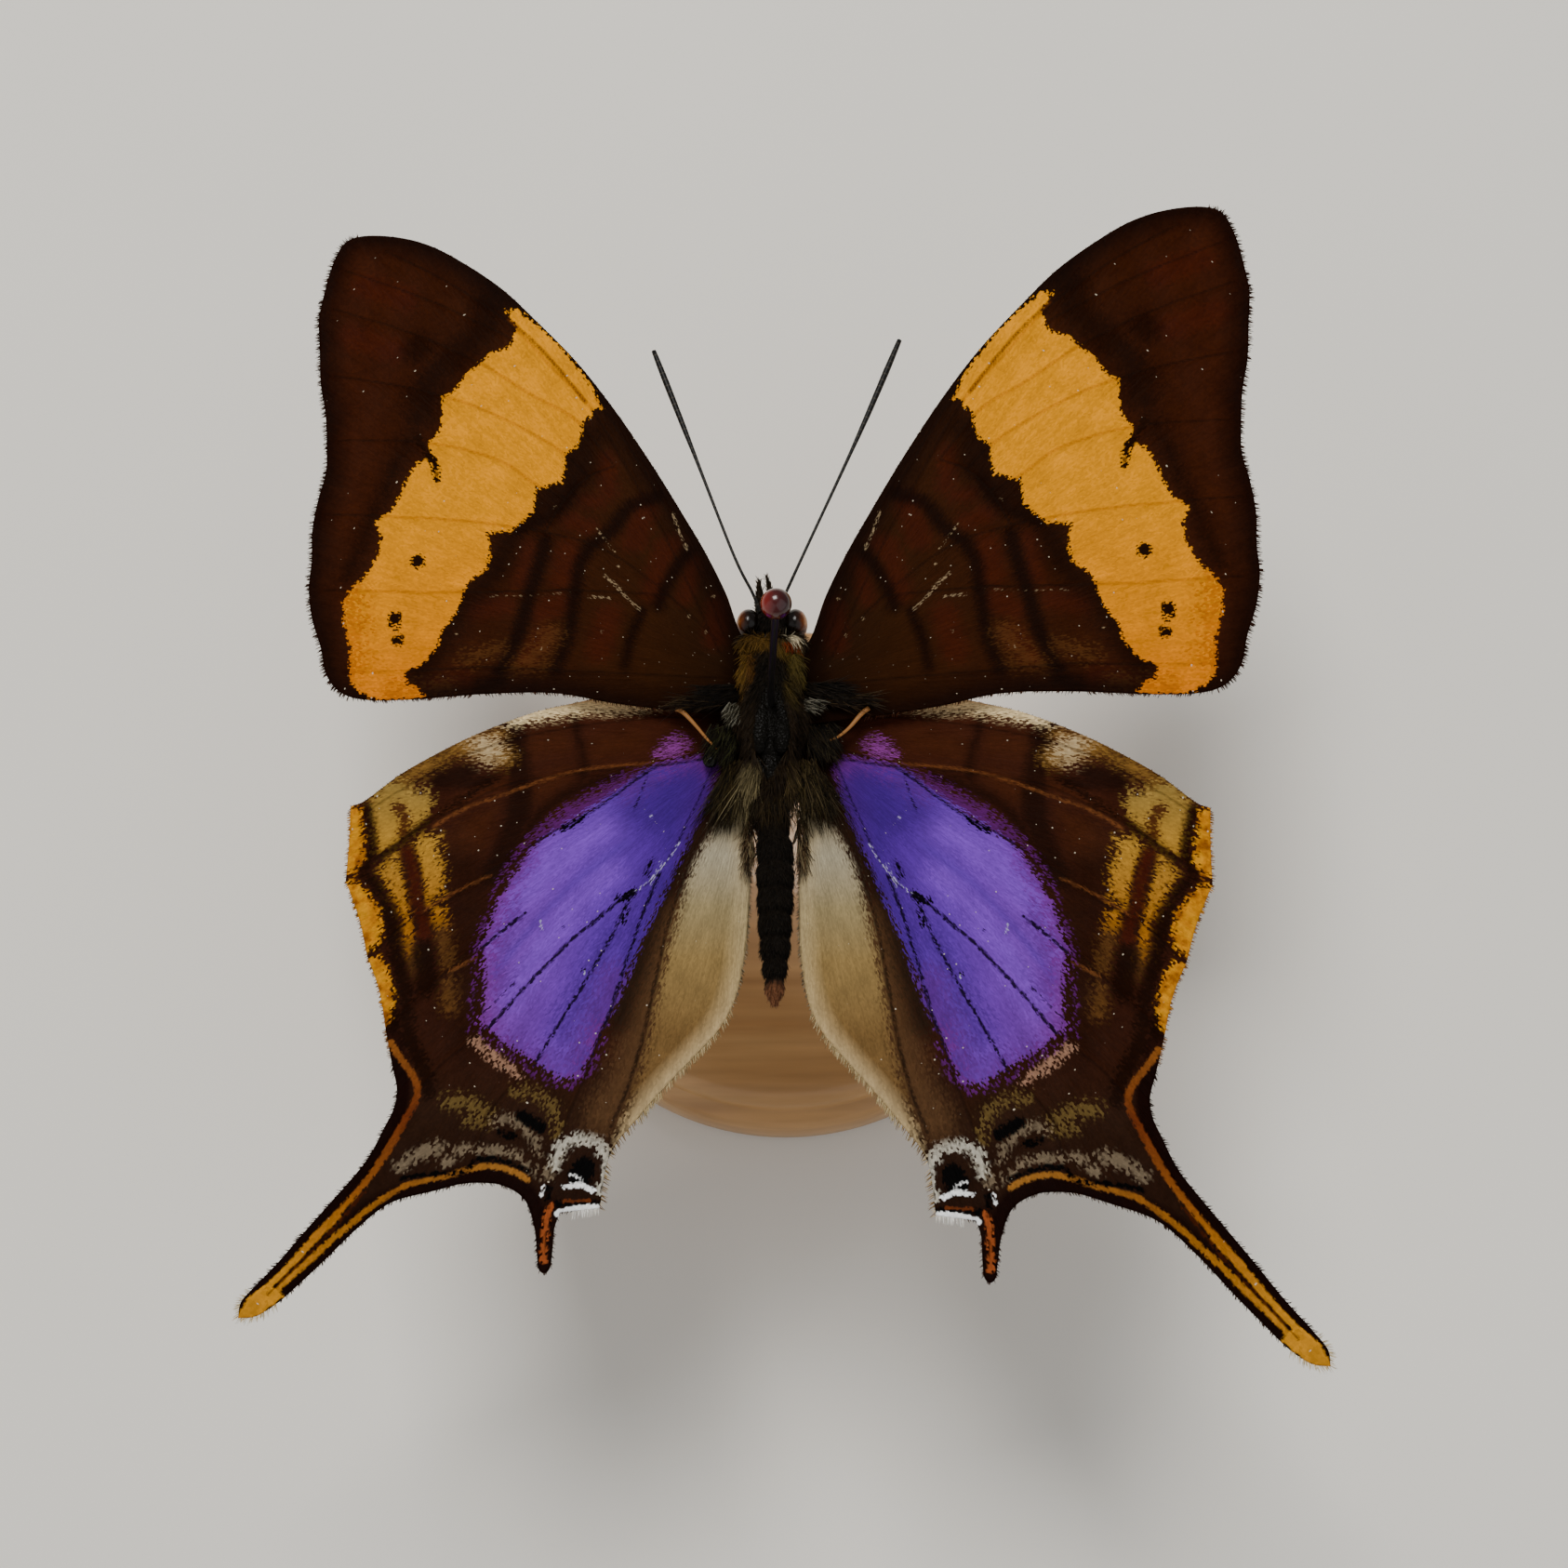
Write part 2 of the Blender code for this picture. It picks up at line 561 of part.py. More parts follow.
# Wings
for side, letter, droop in ((1, "l", DROOP_LEFT), (-1, "r", DROOP_RIGHT)):
    wing("forewing_" + letter, side, FORE_OUTLINE, FORE_VEINS, fore_height, FORE_HINGE,
         droop, -side * FORE_SWEEP, FORE_BROWN)
    wing("hindwing_" + letter, side, HIND_OUTLINE, HIND_VEINS, hind_height, HIND_HINGE,
         droop, -side * HIND_SWEEP, HIND_BROWN)
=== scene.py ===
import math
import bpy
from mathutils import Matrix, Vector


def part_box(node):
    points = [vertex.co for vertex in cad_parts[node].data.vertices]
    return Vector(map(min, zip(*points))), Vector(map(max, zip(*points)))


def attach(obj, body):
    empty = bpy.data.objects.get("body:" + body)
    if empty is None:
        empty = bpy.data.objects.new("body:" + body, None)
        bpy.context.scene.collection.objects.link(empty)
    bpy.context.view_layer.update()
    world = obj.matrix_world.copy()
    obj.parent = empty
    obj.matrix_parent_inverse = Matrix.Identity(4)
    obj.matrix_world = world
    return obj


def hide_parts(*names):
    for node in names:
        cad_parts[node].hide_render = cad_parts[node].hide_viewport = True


bl_info = {
    "name": "Corinna daggerwing",
    "version": (1, 0, 0),
    "blender": (4, 5, 0),
    "location": "3D View > Sidebar > Daggerwing",
    "description": "Dresses a pinned daggerwing: scaled wings, hair, eyes and a turned base",
    "category": "Object",
}

import bmesh
import bpy
import numpy as np
from mathutils import Matrix, Vector

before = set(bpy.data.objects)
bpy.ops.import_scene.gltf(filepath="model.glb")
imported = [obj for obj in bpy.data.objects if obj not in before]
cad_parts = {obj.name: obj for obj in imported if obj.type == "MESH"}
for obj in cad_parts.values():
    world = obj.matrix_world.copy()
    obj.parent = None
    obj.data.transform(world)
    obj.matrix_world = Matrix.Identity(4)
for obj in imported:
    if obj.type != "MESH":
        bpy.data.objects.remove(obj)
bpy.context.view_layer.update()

MM = 0.001

# Places that the solids fix, in metres
BASE_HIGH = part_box("stand_base")[1]
PIN_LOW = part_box("pin_shaft")[0]
BALL_LOW, BALL_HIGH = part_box("pin_head")

# Every length from here on is in millimetres, unless it says otherwise. First are the
# height of the wing roots, where the wings start to arch beside the middle, how far the
# pin bends sideways at its bead, and the radii of the bead and of the pin's point.
WING_Z = 27.0
ROOT_X = 1.5
PIN_BEND = -0.28
BEAD_RADIUS = 0.63
PIN_POINT = 0.03
SIDES = ((1, "l"), (-1, "r"))

# A wing scale, drawn a little longer than a real one so that it shows
SCALE_LENGTH, SCALE_WIDTH = 0.14, 0.06

# Set of the wings, as in the solids
ARCH = 0.5
ARCH_SPAN = 22.0
FORE_LIFT = 0.40
HIND_DROP = 0.42
FOLD_DROP = 0.75
DROOP_LEFT = math.radians(-6.5)
DROOP_RIGHT = math.radians(-3.1)
FORE_HINGE = (1.8, -1.4)
HIND_HINGE = (1.8, 1.8)
FORE_SWEEP = math.radians(0.2)
HIND_SWEEP = math.radians(-0.8)
# How each wing, left then right, is drawn outward and along the body, and moved tailward
FORE_SET = {1: (0.989, 0.982, 0.10), -1: (1.0, 1.014, 0.42)}
HIND_SET = {1: (1.0, 0.984, 0.17), -1: (1.0, 0.992, 0.22)}
# The hindwing's inner fold: where it starts and how soon it is full, outward, tailward
FOLD_OUT, FOLD_AFT = (3.4, 2.2), (3.6, 2.0)
# How far each long tail's tip is worn back, or drawn out where it is below zero, the
# way it points, and where that starts and how soon it is full
TAIL_WORN = {1: 1.15, -1: -0.35}
TAIL_WAY = (0.57, 0.82, 0)
TAIL_OUT, TAIL_AFT = (12, 4), (21, 6.5)

# The sheet of a wing: the step along its rim, how far it sits under its height, the
# ridge over a vein and its reach, the slow buckles of a dried wing, how near the rim
# they die away, and how near a vein the membrane is thicker
RIM_STEP = 0.07
SHEET_DROP = 0.05
VEIN_RIDGE, VEIN_REACH = 0.10, 0.75
BUCKLE = 0.05
RIM_CALM = 1.2
VEIN_HALF_WIDTH = 0.14
# Rows of scales run round a point beside the wing's root, as millimetres to a radian
FLOW_ROOT, FLOW_TURN = (0.0, 1.5), 14.0
# Steps along the lines that markings and veins are measured from, and the least depth
MARK_STEP, VEIN_STEP = 0.25, 0.3
FAR_OUTSIDE = -9.0

# The camera that the photo's landmarks give
CAMERA_PLACE = (-2.45, 40.84, 129.17)
CAMERA_ANGLES = (20.0, 1.08, -179.77)
CAMERA_LENS = 56.4

# Outlines run once round each wing as (outward, tailward) millimetres from the
# body's middle line and the wing roots. A third value marks a corner.
FORE_OUTLINE = [
    (0.72, -2.60, 1), (1.44, -3.35), (2.22, -5.55), (3.12, -7.52), (4.04, -9.26), (5.86, -12.50),
    (7.70, -15.49), (9.53, -18.09), (11.41, -20.30), (13.29, -22.37), (15.22, -23.99),
    (17.10, -25.27), (18.97, -26.01), (20.87, -26.26), (21.59, -25.99), (22.09, -24.98),
    (22.44, -23.38), (22.64, -21.72), (22.50, -20.07), (22.30, -18.01), (21.96, -16.41),
    (21.77, -14.48), (21.72, -13.20), (22.00, -11.82), (22.20, -10.08), (22.12, -8.53),
    (22.16, -7.06), (21.89, -5.50), (21.38, -4.03), (20.99, -2.57), (20.44, -1.79), (19.80, -1.38),
    (18.93, -1.15), (16.77, -1.01), (13.29, -1.04), (9.90, -0.88), (7.33, -0.29), (3.99, 0.25),
    (1.00, 0.60, 1), (1.00, -1.2),
]
HIND_OUTLINE = [
    (1.00, -0.40, 1), (3.67, -1.30), (6.42, -1.19), (9.35, -0.64), (11.00, -0.27), (13.02, 0.44),
    (14.85, 1.26), (17.14, 2.52), (18.88, 3.80), (19.40, 3.95, 1), (19.33, 5.60), (19.34, 7.55, 1),
    (18.55, 9.42), (18.05, 11.14, 1), (17.34, 12.85), (16.95, 14.50), (16.55, 16.10),
    (16.22, 17.35), (16.31, 18.16), (16.65, 18.95), (17.28, 20.29), (18.01, 21.27), (18.94, 22.39),
    (20.10, 23.78), (21.52, 25.52), (22.60, 26.72), (23.15, 27.45), (23.20, 28.08, 1),
    (22.50, 28.02), (21.57, 27.46), (20.50, 26.46), (19.30, 25.26), (17.88, 23.78), (16.34, 22.50),
    (14.21, 21.82), (13.02, 21.50), (12.01, 21.47), (11.25, 21.59), (10.30, 22.20), (9.80, 23.40),
    (9.62, 24.60), (9.50, 25.22), (9.30, 25.34), (9.10, 25.18), (9.00, 24.50), (8.95, 23.40),
    (8.75, 22.75, 1), (7.08, 22.57, 1), (6.69, 20.17), (5.55, 18.61), (4.49, 17.32), (3.35, 16.04),
    (2.38, 14.85), (1.80, 13.66), (1.50, 12.47), (1.28, 10.77), (1.20, 8.98), (1.20, 7.15),
    (1.35, 5.60), (1.00, 3.80, 1), (1.00, 1.80),
]
FORE_VEINS = [
    [(2.3, -3.4), (3.3, -6.3), (5.2, -10.3), (7.1, -13.7), (8.5, -16.0)],
    [(2.5, -2.6), (5.0, -8.4), (7.2, -12.7), (8.9, -15.7), (10.6, -17.7),
     (12.8, -20.3), (16.2, -23.1), (19.4, -25.2)],
    [(12.8, -19.6), (16.8, -22.0), (21.4, -24.3)],
    [(7.5, -12.3), (9.5, -14.9), (11.7, -16.4), (13.8, -18.0), (17.5, -20.2), (21.9, -22.2)],
    [(8.7, -11.8), (10.2, -13.3), (12.2, -14.7), (14.5, -16.0), (18.0, -17.4), (21.6, -18.4)],
    [(9.8, -10.7), (11.3, -11.6), (12.8, -12.8), (15.2, -13.8), (18.4, -14.5), (21.1, -14.8)],
    [(7.5, -12.3), (8.7, -11.8), (9.8, -10.7), (10.7, -9.0)],
    [(2.6, -3.2), (5.6, -6.2), (8.0, -8.0), (10.7, -9.0), (14.3, -9.8), (18.7, -10.5),
     (21.6, -10.9)],
    [(4.9, -5.5), (8.8, -5.9), (13.3, -6.1), (17.2, -6.4), (21.4, -6.9)],
    [(2.6, -1.3), (9.3, -1.9), (13.2, -2.3), (17.5, -2.4), (20.0, -2.6)],
]
HIND_VEINS = [
    [(2.6, 0.2), (5.5, 0.2), (9.5, 0.6), (13.4, 1.5), (17.0, 3.3), (18.7, 4.4)],
    [(2.7, 1.7), (5.3, 2.4), (8.8, 2.8), (12.1, 3.3), (14.2, 4.3), (16.1, 5.3), (18.7, 7.1)],
    [(5.3, 2.4), (9.0, 5.2), (11.4, 6.6), (14.7, 8.9), (16.3, 9.7), (17.6, 10.9)],
    [(5.8, 3.2), (6.5, 4.9), (8.9, 7.6), (11.6, 9.7), (12.9, 10.7), (15.1, 12.8), (16.5, 14.1)],
    [(4.6, 6.8), (6.5, 8.6), (9.3, 11.0), (10.8, 12.7), (12.5, 14.8), (14.6, 16.6),
     (16.2, 19.4), (18.0, 22.5), (20.2, 25.1), (22.0, 27.0)],
    [(6.5, 8.6), (8.0, 11.8), (9.2, 14.1), (10.5, 16.5), (12.0, 18.5), (12.6, 20.9)],
    [(2.7, 2.3), (4.2, 6.0), (5.2, 7.8), (5.9, 10.3), (7.0, 13.8), (7.9, 16.8), (9.0, 20.1),
     (9.25, 24.2)],
    [(2.3, 3.4), (3.6, 7.6), (4.8, 11.9), (5.7, 17.2), (7.1, 21.4)],
]

# Markings in the same millimetres. Each shape is a half width and a line, with
# None for an area that the line bounds. One point makes a round spot.
FORE_MARKS = {
    "band": [
        (None, [(12.5, -20.1), (12.8, -19.1), (13.6, -18.9), (14.0, -18.6), (14.4, -18.1),
                (15.0, -17.8), (15.3, -17.1), (16.0, -16.6), (16.0, -15.8), (16.1, -14.8),
                (16.6, -14.2), (16.6, -13.4), (17.2, -13.2), (17.5, -12.7), (18.0, -11.3),
                (18.4, -10.6), (19.0, -10.3), (18.7, -9.4), (18.8, -8.7), (19.1, -8.0),
                (19.4, -7.4), (19.9, -6.9), (20.4, -6.2), (20.3, -5.1), (19.9, -3.8), (19.8, -2.5),
                (19.7, -2.0), (19.1, -1.4), (18.2, -1.0), (16.1, -1.0), (16.4, -1.5), (17.0, -1.8),
                (17.1, -2.4), (16.5, -2.6), (16.0, -3.0), (15.6, -3.6), (15.5, -4.3), (15.1, -4.8),
                (14.7, -5.4), (14.5, -6.2), (14.1, -6.9), (13.5, -7.3), (13.3, -8.2), (13.5, -9.2),
                (12.3, -9.2), (11.8, -9.6), (11.3, -10.2), (11.2, -11.4), (10.9, -11.3),
                (10.5, -11.5), (10.0, -11.6), (9.9, -12.2), (9.9, -13.0), (9.4, -13.4),
                (9.2, -13.8), (9.1, -14.7), (8.7, -15.1), (8.5, -15.4), (8.15, -15.4),
                (8.7, -16.6), (9.8, -18.3), (11.2, -19.9), (12.5, -21.2), (13.1, -21.2),
                (12.8, -20.6)]),
    ],
    "under_line": [(0.24, [(15.8, -19.0), (13.6, -12.5), (12.0, -7.0), (11.2, -1.4)])],
    "under_spots": [(0.16, [(18.9, -19.2)]), (0.16, [(18.9, -15.4)]), (0.14, [(18.6, -11.6)])],
    "band_dark": [
        (0.16, [(17.2, -14.5), (16.6, -13.7), (16.2, -12.9), (16.1, -12.3)]),
        (0.36, [(16.8, -8.0)]), (0.33, [(17.8, -5.1)]), (0.27, [(17.6, -4.0)]),
        (0.10, [(17.7, -4.5), (17.62, -4.66)]),
    ],
    "costal_line": [(0.08, [(9.0, -15.8), (10.05, -17.3), (11.3, -18.9), (12.9, -20.6)])],
    "band_dust": [
        (0.55, [(20.1, -6.2), (19.9, -5.1), (19.7, -3.0)]), (0.4, [(16.6, -1.3), (17.4, -1.4)]),
    ],
    "shadow": [
        (0.8, [(17.4, -19.4)]), (0.7, [(17.3, -16.7)]),
        (0.8, [(14.0, -21.8), (14.1, -20.4), (15.3, -19.1), (16.7, -17.6), (17.1, -15.9)]),
        (0.4, [(17.4, -14.8), (18.2, -13.2), (18.8, -11.5), (19.5, -9.6), (20.3, -7.5)]),
        (0.9, [(9.0, -13.8), (9.3, -12.1), (10.3, -10.8), (11.5, -9.8)]),
        (0.7, [(12.4, -8.8), (13.0, -7.3), (14.2, -5.9), (15.4, -4.2), (16.4, -2.4)]),
    ],
    "bars": [
        (0.33, [(8.4, -8.2), (9.0, -7.4), (9.2, -5.8), (9.5, -3.5), (10.0, -2.0)]),
        (0.36, [(10.7, -8.6), (11.1, -6.8), (11.5, -5.2), (11.9, -3.6), (12.6, -2.0)]),
        (0.24, [(6.1, -4.8), (6.6, -3.3), (6.8, -2.1)]),
        (0.32, [(3.9, -7.8), (4.7, -6.6), (5.3, -5.1)]),
        (0.36, [(5.5, -10.6), (6.8, -10.1), (7.6, -9.0), (8.7, -8.0)]),
        (0.30, [(9.4, -11.4), (10.2, -10.1), (12.0, -9.2)]), (0.35, [(12.5, -1.6), (13.5, -1.3)]),
    ],
    "rufous": [
        (0.42, [(7.9, -12.7), (7.8, -11.0)]), (0.36, [(8.2, -10.5), (8.9, -10.6)]),
        (0.62, [(6.0, -10.0), (6.5, -8.4)]), (0.45, [(8.7, -9.2), (9.6, -9.6)]),
        (0.45, [(4.6, -8.2), (5.2, -7.2)]), (0.62, [(9.6, -8.0), (9.8, -6.6)]),
        (0.45, [(11.5, -8.4), (11.8, -6.6)]), (0.55, [(9.9, -5.3), (10.7, -5.0)]),
        (0.50, [(12.5, -5.4), (13.9, -5.3)]), (0.50, [(5.1, -8.0), (5.6, -5.7)]),
        (0.40, [(3.7, -7.2), (4.1, -5.4)]), (0.60, [(7.6, -4.6), (8.0, -2.9)]),
        (0.50, [(2.6, -5.0), (2.7, -3.3)]), (0.60, [(18.2, -22.3), (20.4, -23.4)]),
        (0.60, [(18.6, -19.5), (21.0, -20.6)]), (0.55, [(10.6, -3.7), (11.3, -2.6)]),
        (0.50, [(14.3, -1.9), (16.2, -1.6)]),
    ],
    "ochre": [
        (0.42, [(10.3, -3.7), (11.2, -2.5)]), (0.30, [(12.8, -3.2), (14.1, -2.8)]),
        (0.22, [(10.6, -2.3), (11.9, -2.2)]), (0.3, [(15.2, -1.5), (16.6, -1.3)]),
    ],
    "rubbed": [
        (0.03, [(6.2, -4.9), (7.0, -5.7), (7.9, -6.7)]), (0.05, [(7.1, -5.9), (7.6, -6.4)]),
        (0.035, [(4.0, -7.8), (4.4, -8.7), (4.7, -9.7)]), (0.02, [(7.5, -5.5), (8.6, -5.6)]),
        (-0.01, [(9.4, -5.8), (11.3, -5.8), (13.2, -5.9)]), (0.0, [(7.4, -7.8), (8.3, -9.1)]),
        (0.05, [(3.1, -3.6)]), (0.05, [(7.9, -3.8)]), (0.05, [(3.9, -4.4)]), (0.05, [(7.2, -7.1)]),
        (0.04, [(2.8, -5.4)]), (0.05, [(10.7, -3.1)]), (0.04, [(14.8, -4.1)]),
        (0.06, [(10.3, -10.3)]),
    ],
}
HIND_MARKS = {
    "under_line": [(0.24, [(13.6, 0.2), (13.2, 5.0), (12.2, 10.0), (10.8, 14.4), (8.6, 18.4)])],
    "under_spots": [(0.35, [(10.6, 19.2)]), (0.30, [(7.9, 20.9)]), (0.13, [(14.6, 15.6)])],
    "violet": [
        (None, [(2.6, 2.6), (3.1, 2.1), (4.3, 2.2), (5.5, 2.5), (7.1, 3.7), (8.5, 4.7), (9.6, 5.4),
                (10.9, 6.4), (11.7, 7.8), (12.3, 9.0), (12.8, 11.0), (12.6, 12.4), (12.6, 13.6),
                (12.7, 14.4), (12.1, 14.9), (11.1, 15.6), (10.1, 16.3), (8.9, 17.0), (8.1, 16.8),
                (7.4, 15.3), (6.8, 13.8), (6.2, 12.2), (5.6, 10.5), (4.9, 8.8), (4.0, 6.6),
                (3.1, 4.4)]),
    ],
    "deep": [
        (None, [(2.4, 2.6), (4.0, 2.3), (5.4, 2.8), (6.6, 3.8), (7.2, 4.8), (6.2, 5.6), (5.2, 6.0),
                (4.9, 6.8), (5.4, 8.2), (5.0, 9.0), (4.4, 7.6), (3.4, 5.2)]),
        (0.5, [(4.6, 7.4), (5.6, 9.8), (6.3, 12.2), (7.0, 14.6)]),
        (0.3, [(7.0, 10.4), (8.0, 12.6), (9.0, 14.8)]),
    ],
    "plum": [
        (0.7, [(6.9, 12.6), (7.6, 14.8), (8.4, 16.4)]), (0.35, [(9.0, 16.6), (11.0, 15.4)]),
        (0.5, [(11.4, 9.6), (12.0, 11.2), (11.9, 12.6)]), (0.3, [(5.6, 3.0), (6.6, 3.8)]),
    ],
    "lilac": [
        (0.8, [(7.6, 5.4), (9.4, 6.8), (11.2, 8.8), (12.0, 11.0)]),
        (0.6, [(7.4, 7.6), (8.8, 9.2), (10.2, 11.2), (11.4, 13.0)]),
    ],
    # Painted shade: a soft darker band of violet along a crease in the dried wing
    "crease": [
        (0.12, [(6.6, 6.2), (7.6, 7.0), (8.8, 8.0), (10.0, 9.3), (10.8, 10.3), (12.2, 12.2)]),
    ],
    "magenta_rim": [
        (0.40, [(11.2, 6.6), (12.1, 8.4), (12.7, 10.6), (12.8, 12.4), (12.7, 14.6), (11.4, 16.0),
                (10.2, 17.0), (8.7, 17.7), (7.7, 16.6), (7.2, 15.0)]),
        (0.30, [(2.7, 2.7), (3.5, 2.2), (4.9, 2.4)]),
    ],
    "magenta": [(None, [(4.1, 1.5), (4.5, 1.2), (5.0, 1.6), (5.2, 2.0), (4.7, 2.1)])],
    "dust": [
        (None, [(5.6, 2.8), (6.7, 3.0), (8.3, 3.8), (9.6, 4.7), (10.5, 5.4), (11.1, 6.2),
                (9.6, 5.7), (8.3, 4.9), (6.9, 3.9)]),
        (-0.12, [(11.1, 6.0), (12.2, 7.8), (12.9, 10.2), (13.1, 12.2), (13.0, 14.7)]),
        (-0.05, [(12.5, 14.9), (10.5, 16.4), (8.8, 17.2), (7.9, 16.8), (7.3, 15.2)]),
    ],
    "lines": [
        (0.03, [(2.7, 2.3), (4.2, 6.0), (5.2, 7.8), (6.3, 8.6)]), (0.04, [(3.0, 2.2), (5.3, 2.5)]),
        (0.07, [(6.5, 8.7), (8.1, 10.1), (9.3, 11.2), (10.8, 12.9), (12.7, 15.2)]),
        (0.055, [(6.4, 8.9), (7.0, 10.4), (7.9, 12.2), (9.1, 14.4), (10.4, 16.8)]),
        (0.06, [(5.0, 7.6), (5.7, 9.6), (6.3, 11.6), (6.9, 13.8), (7.9, 16.8)]),
        (0.03, [(5.7, 2.9), (6.0, 3.9), (6.3, 4.6)]),
        (0.07, [(10.9, 9.4), (11.8, 10.1), (12.8, 11.0)]),
        (0.04, [(5.3, 2.5), (7.0, 3.8), (8.5, 4.9), (9.8, 5.6), (11.2, 6.5)]),
        (0.03, [(11.2, 12.6), (11.9, 13.3), (12.6, 14.0)]),
    ],
    "blots": [
        (0.20, [(6.15, 8.5), (6.45, 8.75)]), (0.13, [(6.45, 8.7), (6.9, 8.8)]),
        (0.10, [(6.4, 9.2), (6.6, 9.9)]), (0.08, [(5.4, 7.0), (5.6, 7.7)]),
        (0.12, [(8.5, 4.95), (9.5, 5.5)]), (0.06, [(8.2, 12.1)]), (0.05, [(9.2, 10.1)]),
    ],
    "worn": [
        (0.0, [(4.2, 6.2), (4.8, 7.2), (5.5, 8.0), (6.1, 8.5)]), (0.03, [(5.5, 4.9)]),
        (0.0, [(5.0, 7.1), (5.4, 8.2)]), (0.05, [(8.15, 12.2)]),
        (0.03, [(10.2, 9.8), (10.2, 10.2)]),
    ],
    "fold": [
        (None, [(0.4, 4.2), (1.8, 4.6), (2.7, 5.6), (3.3, 6.8), (3.8, 8.2), (4.3, 10.2),
                (4.8, 12.9), (5.1, 14.8), (5.5, 16.6), (6.1, 18.4), (6.6, 20.2), (5.9, 20.0),
                (4.6, 18.2), (3.0, 16.4), (1.4, 14.4), (0.5, 12.0), (0.4, 6.0)]),
    ],
    "fold_line": [
        (0.07, [(2.0, 4.2), (2.5, 4.8), (3.5, 6.4), (4.0, 8.0), (4.55, 9.9), (5.1, 12.9),
                (5.5, 15.2), (6.0, 17.1), (6.7, 19.1)]),
    ],
    "inner_brown": [(0.8, [(4.3, 9.6), (4.9, 12.0), (5.5, 14.6), (6.2, 17.0), (7.0, 18.6)])],
    "dark_inner": [
        (0.6, [(2.0, 3.0), (3.4, 5.4), (4.3, 7.6)]),
        (0.4, [(4.3, 7.6), (5.2, 9.8), (5.9, 12.2), (6.6, 14.4)]),
    ],
    "bars": [
        (0.17, [(9.2, -0.6), (9.1, 0.4), (8.9, 1.2), (8.6, 2.4), (8.7, 3.4)]),
        (0.55, [(12.1, 0.1), (11.8, 1.6), (11.5, 3.1), (11.5, 4.6), (12.0, 6.4), (12.5, 7.6)]),
        (0.30, [(13.0, 3.0), (14.4, 3.1), (15.4, 3.0)]), (0.5, [(14.0, 2.6), (15.2, 2.9)]),
        (0.24, [(7.0, 2.9), (9.0, 3.6), (10.4, 4.6), (11.4, 6.0)]),
    ],
    "shadow": [
        (0.24, [(18.64, 4.1), (18.4, 5.0), (18.2, 6.4), (18.45, 7.2), (17.85, 7.9), (17.3, 9.0)]),
        (0.34, [(17.25, 9.0), (16.9, 10.0), (16.75, 10.9), (16.5, 11.8), (16.1, 13.2),
                (15.9, 14.8), (15.0, 16.6), (14.8, 17.4)]),
        (0.13, [(12.5, 2.8), (14.4, 4.1), (16.2, 5.3), (17.8, 6.6)]),
        (0.5, [(15.5, 11.0), (15.2, 12.6)]), (0.4, [(17.2, 12.4), (16.6, 14.4)]),
    ],
    "dim": [(0.9, [(13.9, 7.0), (13.6, 8.6), (13.4, 10.6), (13.2, 13.4), (13.2, 15.0)])],
    "gold_gap": [
        (0.27, [(17.15, 4.1), (16.75, 4.7), (16.75, 5.4)]),
        (0.30, [(16.55, 6.3), (16.2, 7.3), (15.9, 8.8)]), (0.30, [(15.65, 9.3), (15.5, 10.3)]),
    ],
    "rufous": [
        (None, [(12.5, 4.3), (14.3, 5.0), (14.9, 6.0), (14.0, 6.9), (13.0, 6.4)]),
        (0.30, [(12.2, 3.05), (13.6, 3.8), (15.2, 4.75)]), (0.5, [(9.9, 1.2), (10.9, 1.4)]),
        (0.5, [(6.4, 1.2), (8.0, 1.6)]), (0.4, [(9.6, 3.0), (10.8, 3.6)]),
    ],
    "ridge": [
        (0.05, [(5.3, 2.4), (8.3, 2.6), (10.4, 3.1), (12.4, 3.8), (14.1, 4.4), (15.4, 5.2)]),
        (0.04, [(12.6, 7.6), (14.3, 8.4), (15.6, 9.2)]), (0.04, [(13.0, 11.4), (14.2, 12.0)]),
    ],
    "hump": [
        (None, [(4.4, -0.7), (5.6, -1.5), (7.6, -1.6), (9.6, -1.2), (11.4, -0.6), (12.6, 0.1),
                (12.0, 0.3), (11.0, 0.1), (9.6, -0.1), (8.6, -0.3), (7.5, -0.2), (6.2, -0.3)]),
    ],
    "tan": [
        (None, [(12.5, 1.7), (12.7, 1.1), (13.3, 0.9), (13.8, 1.1), (13.7, 1.5), (13.2, 1.9),
                (12.8, 2.0)]),
    ],
    "drab": [
        (0.25, [(12.6, 0.8), (14.0, 1.1), (15.4, 1.9), (17.0, 2.8), (18.3, 3.8)]),
        (0.45, [(12.4, 1.9), (13.2, 1.5), (14.2, 1.3)]), (0.45, [(16.9, 3.1), (17.9, 3.6)]),
    ],
    "gold": [
        (None, [(15.67, 3.5), (16.5, 3.25), (17.3, 2.9), (18.1, 3.3), (18.45, 3.95), (18.3, 5.0),
                (17.9, 6.25), (17.4, 6.2), (16.4, 5.5), (15.8, 4.9), (15.6, 4.1)]),
        (None, [(15.2, 5.65), (16.0, 5.7), (16.3, 6.05), (15.95, 6.7), (15.7, 7.5), (15.6, 8.4),
                (15.35, 8.85), (14.9, 8.5), (14.75, 7.8), (15.0, 6.7)]),
        (None, [(17.0, 6.2), (17.5, 6.55), (17.8, 7.05), (17.3, 8.0), (16.9, 8.8), (16.6, 9.4),
                (16.1, 9.2), (16.35, 8.5), (16.65, 7.5), (16.9, 6.85)]),
        (0.25, [(14.95, 9.2), (14.85, 9.7)]), (0.24, [(16.2, 9.85), (16.25, 10.4), (16.1, 11.0)]),
    ],
    "olive": [
        (0.26, [(14.7, 10.0), (14.5, 10.9), (14.3, 11.6)]), (0.20, [(16.1, 10.8), (15.8, 11.9)]),
        (0.24, [(14.2, 12.6), (14.1, 13.6)]),
    ],
    "moss": [
        (0.20, [(12.1, 18.5), (12.9, 18.0), (14.0, 17.85)]), (0.14, [(12.1, 18.85), (12.9, 18.7)]),
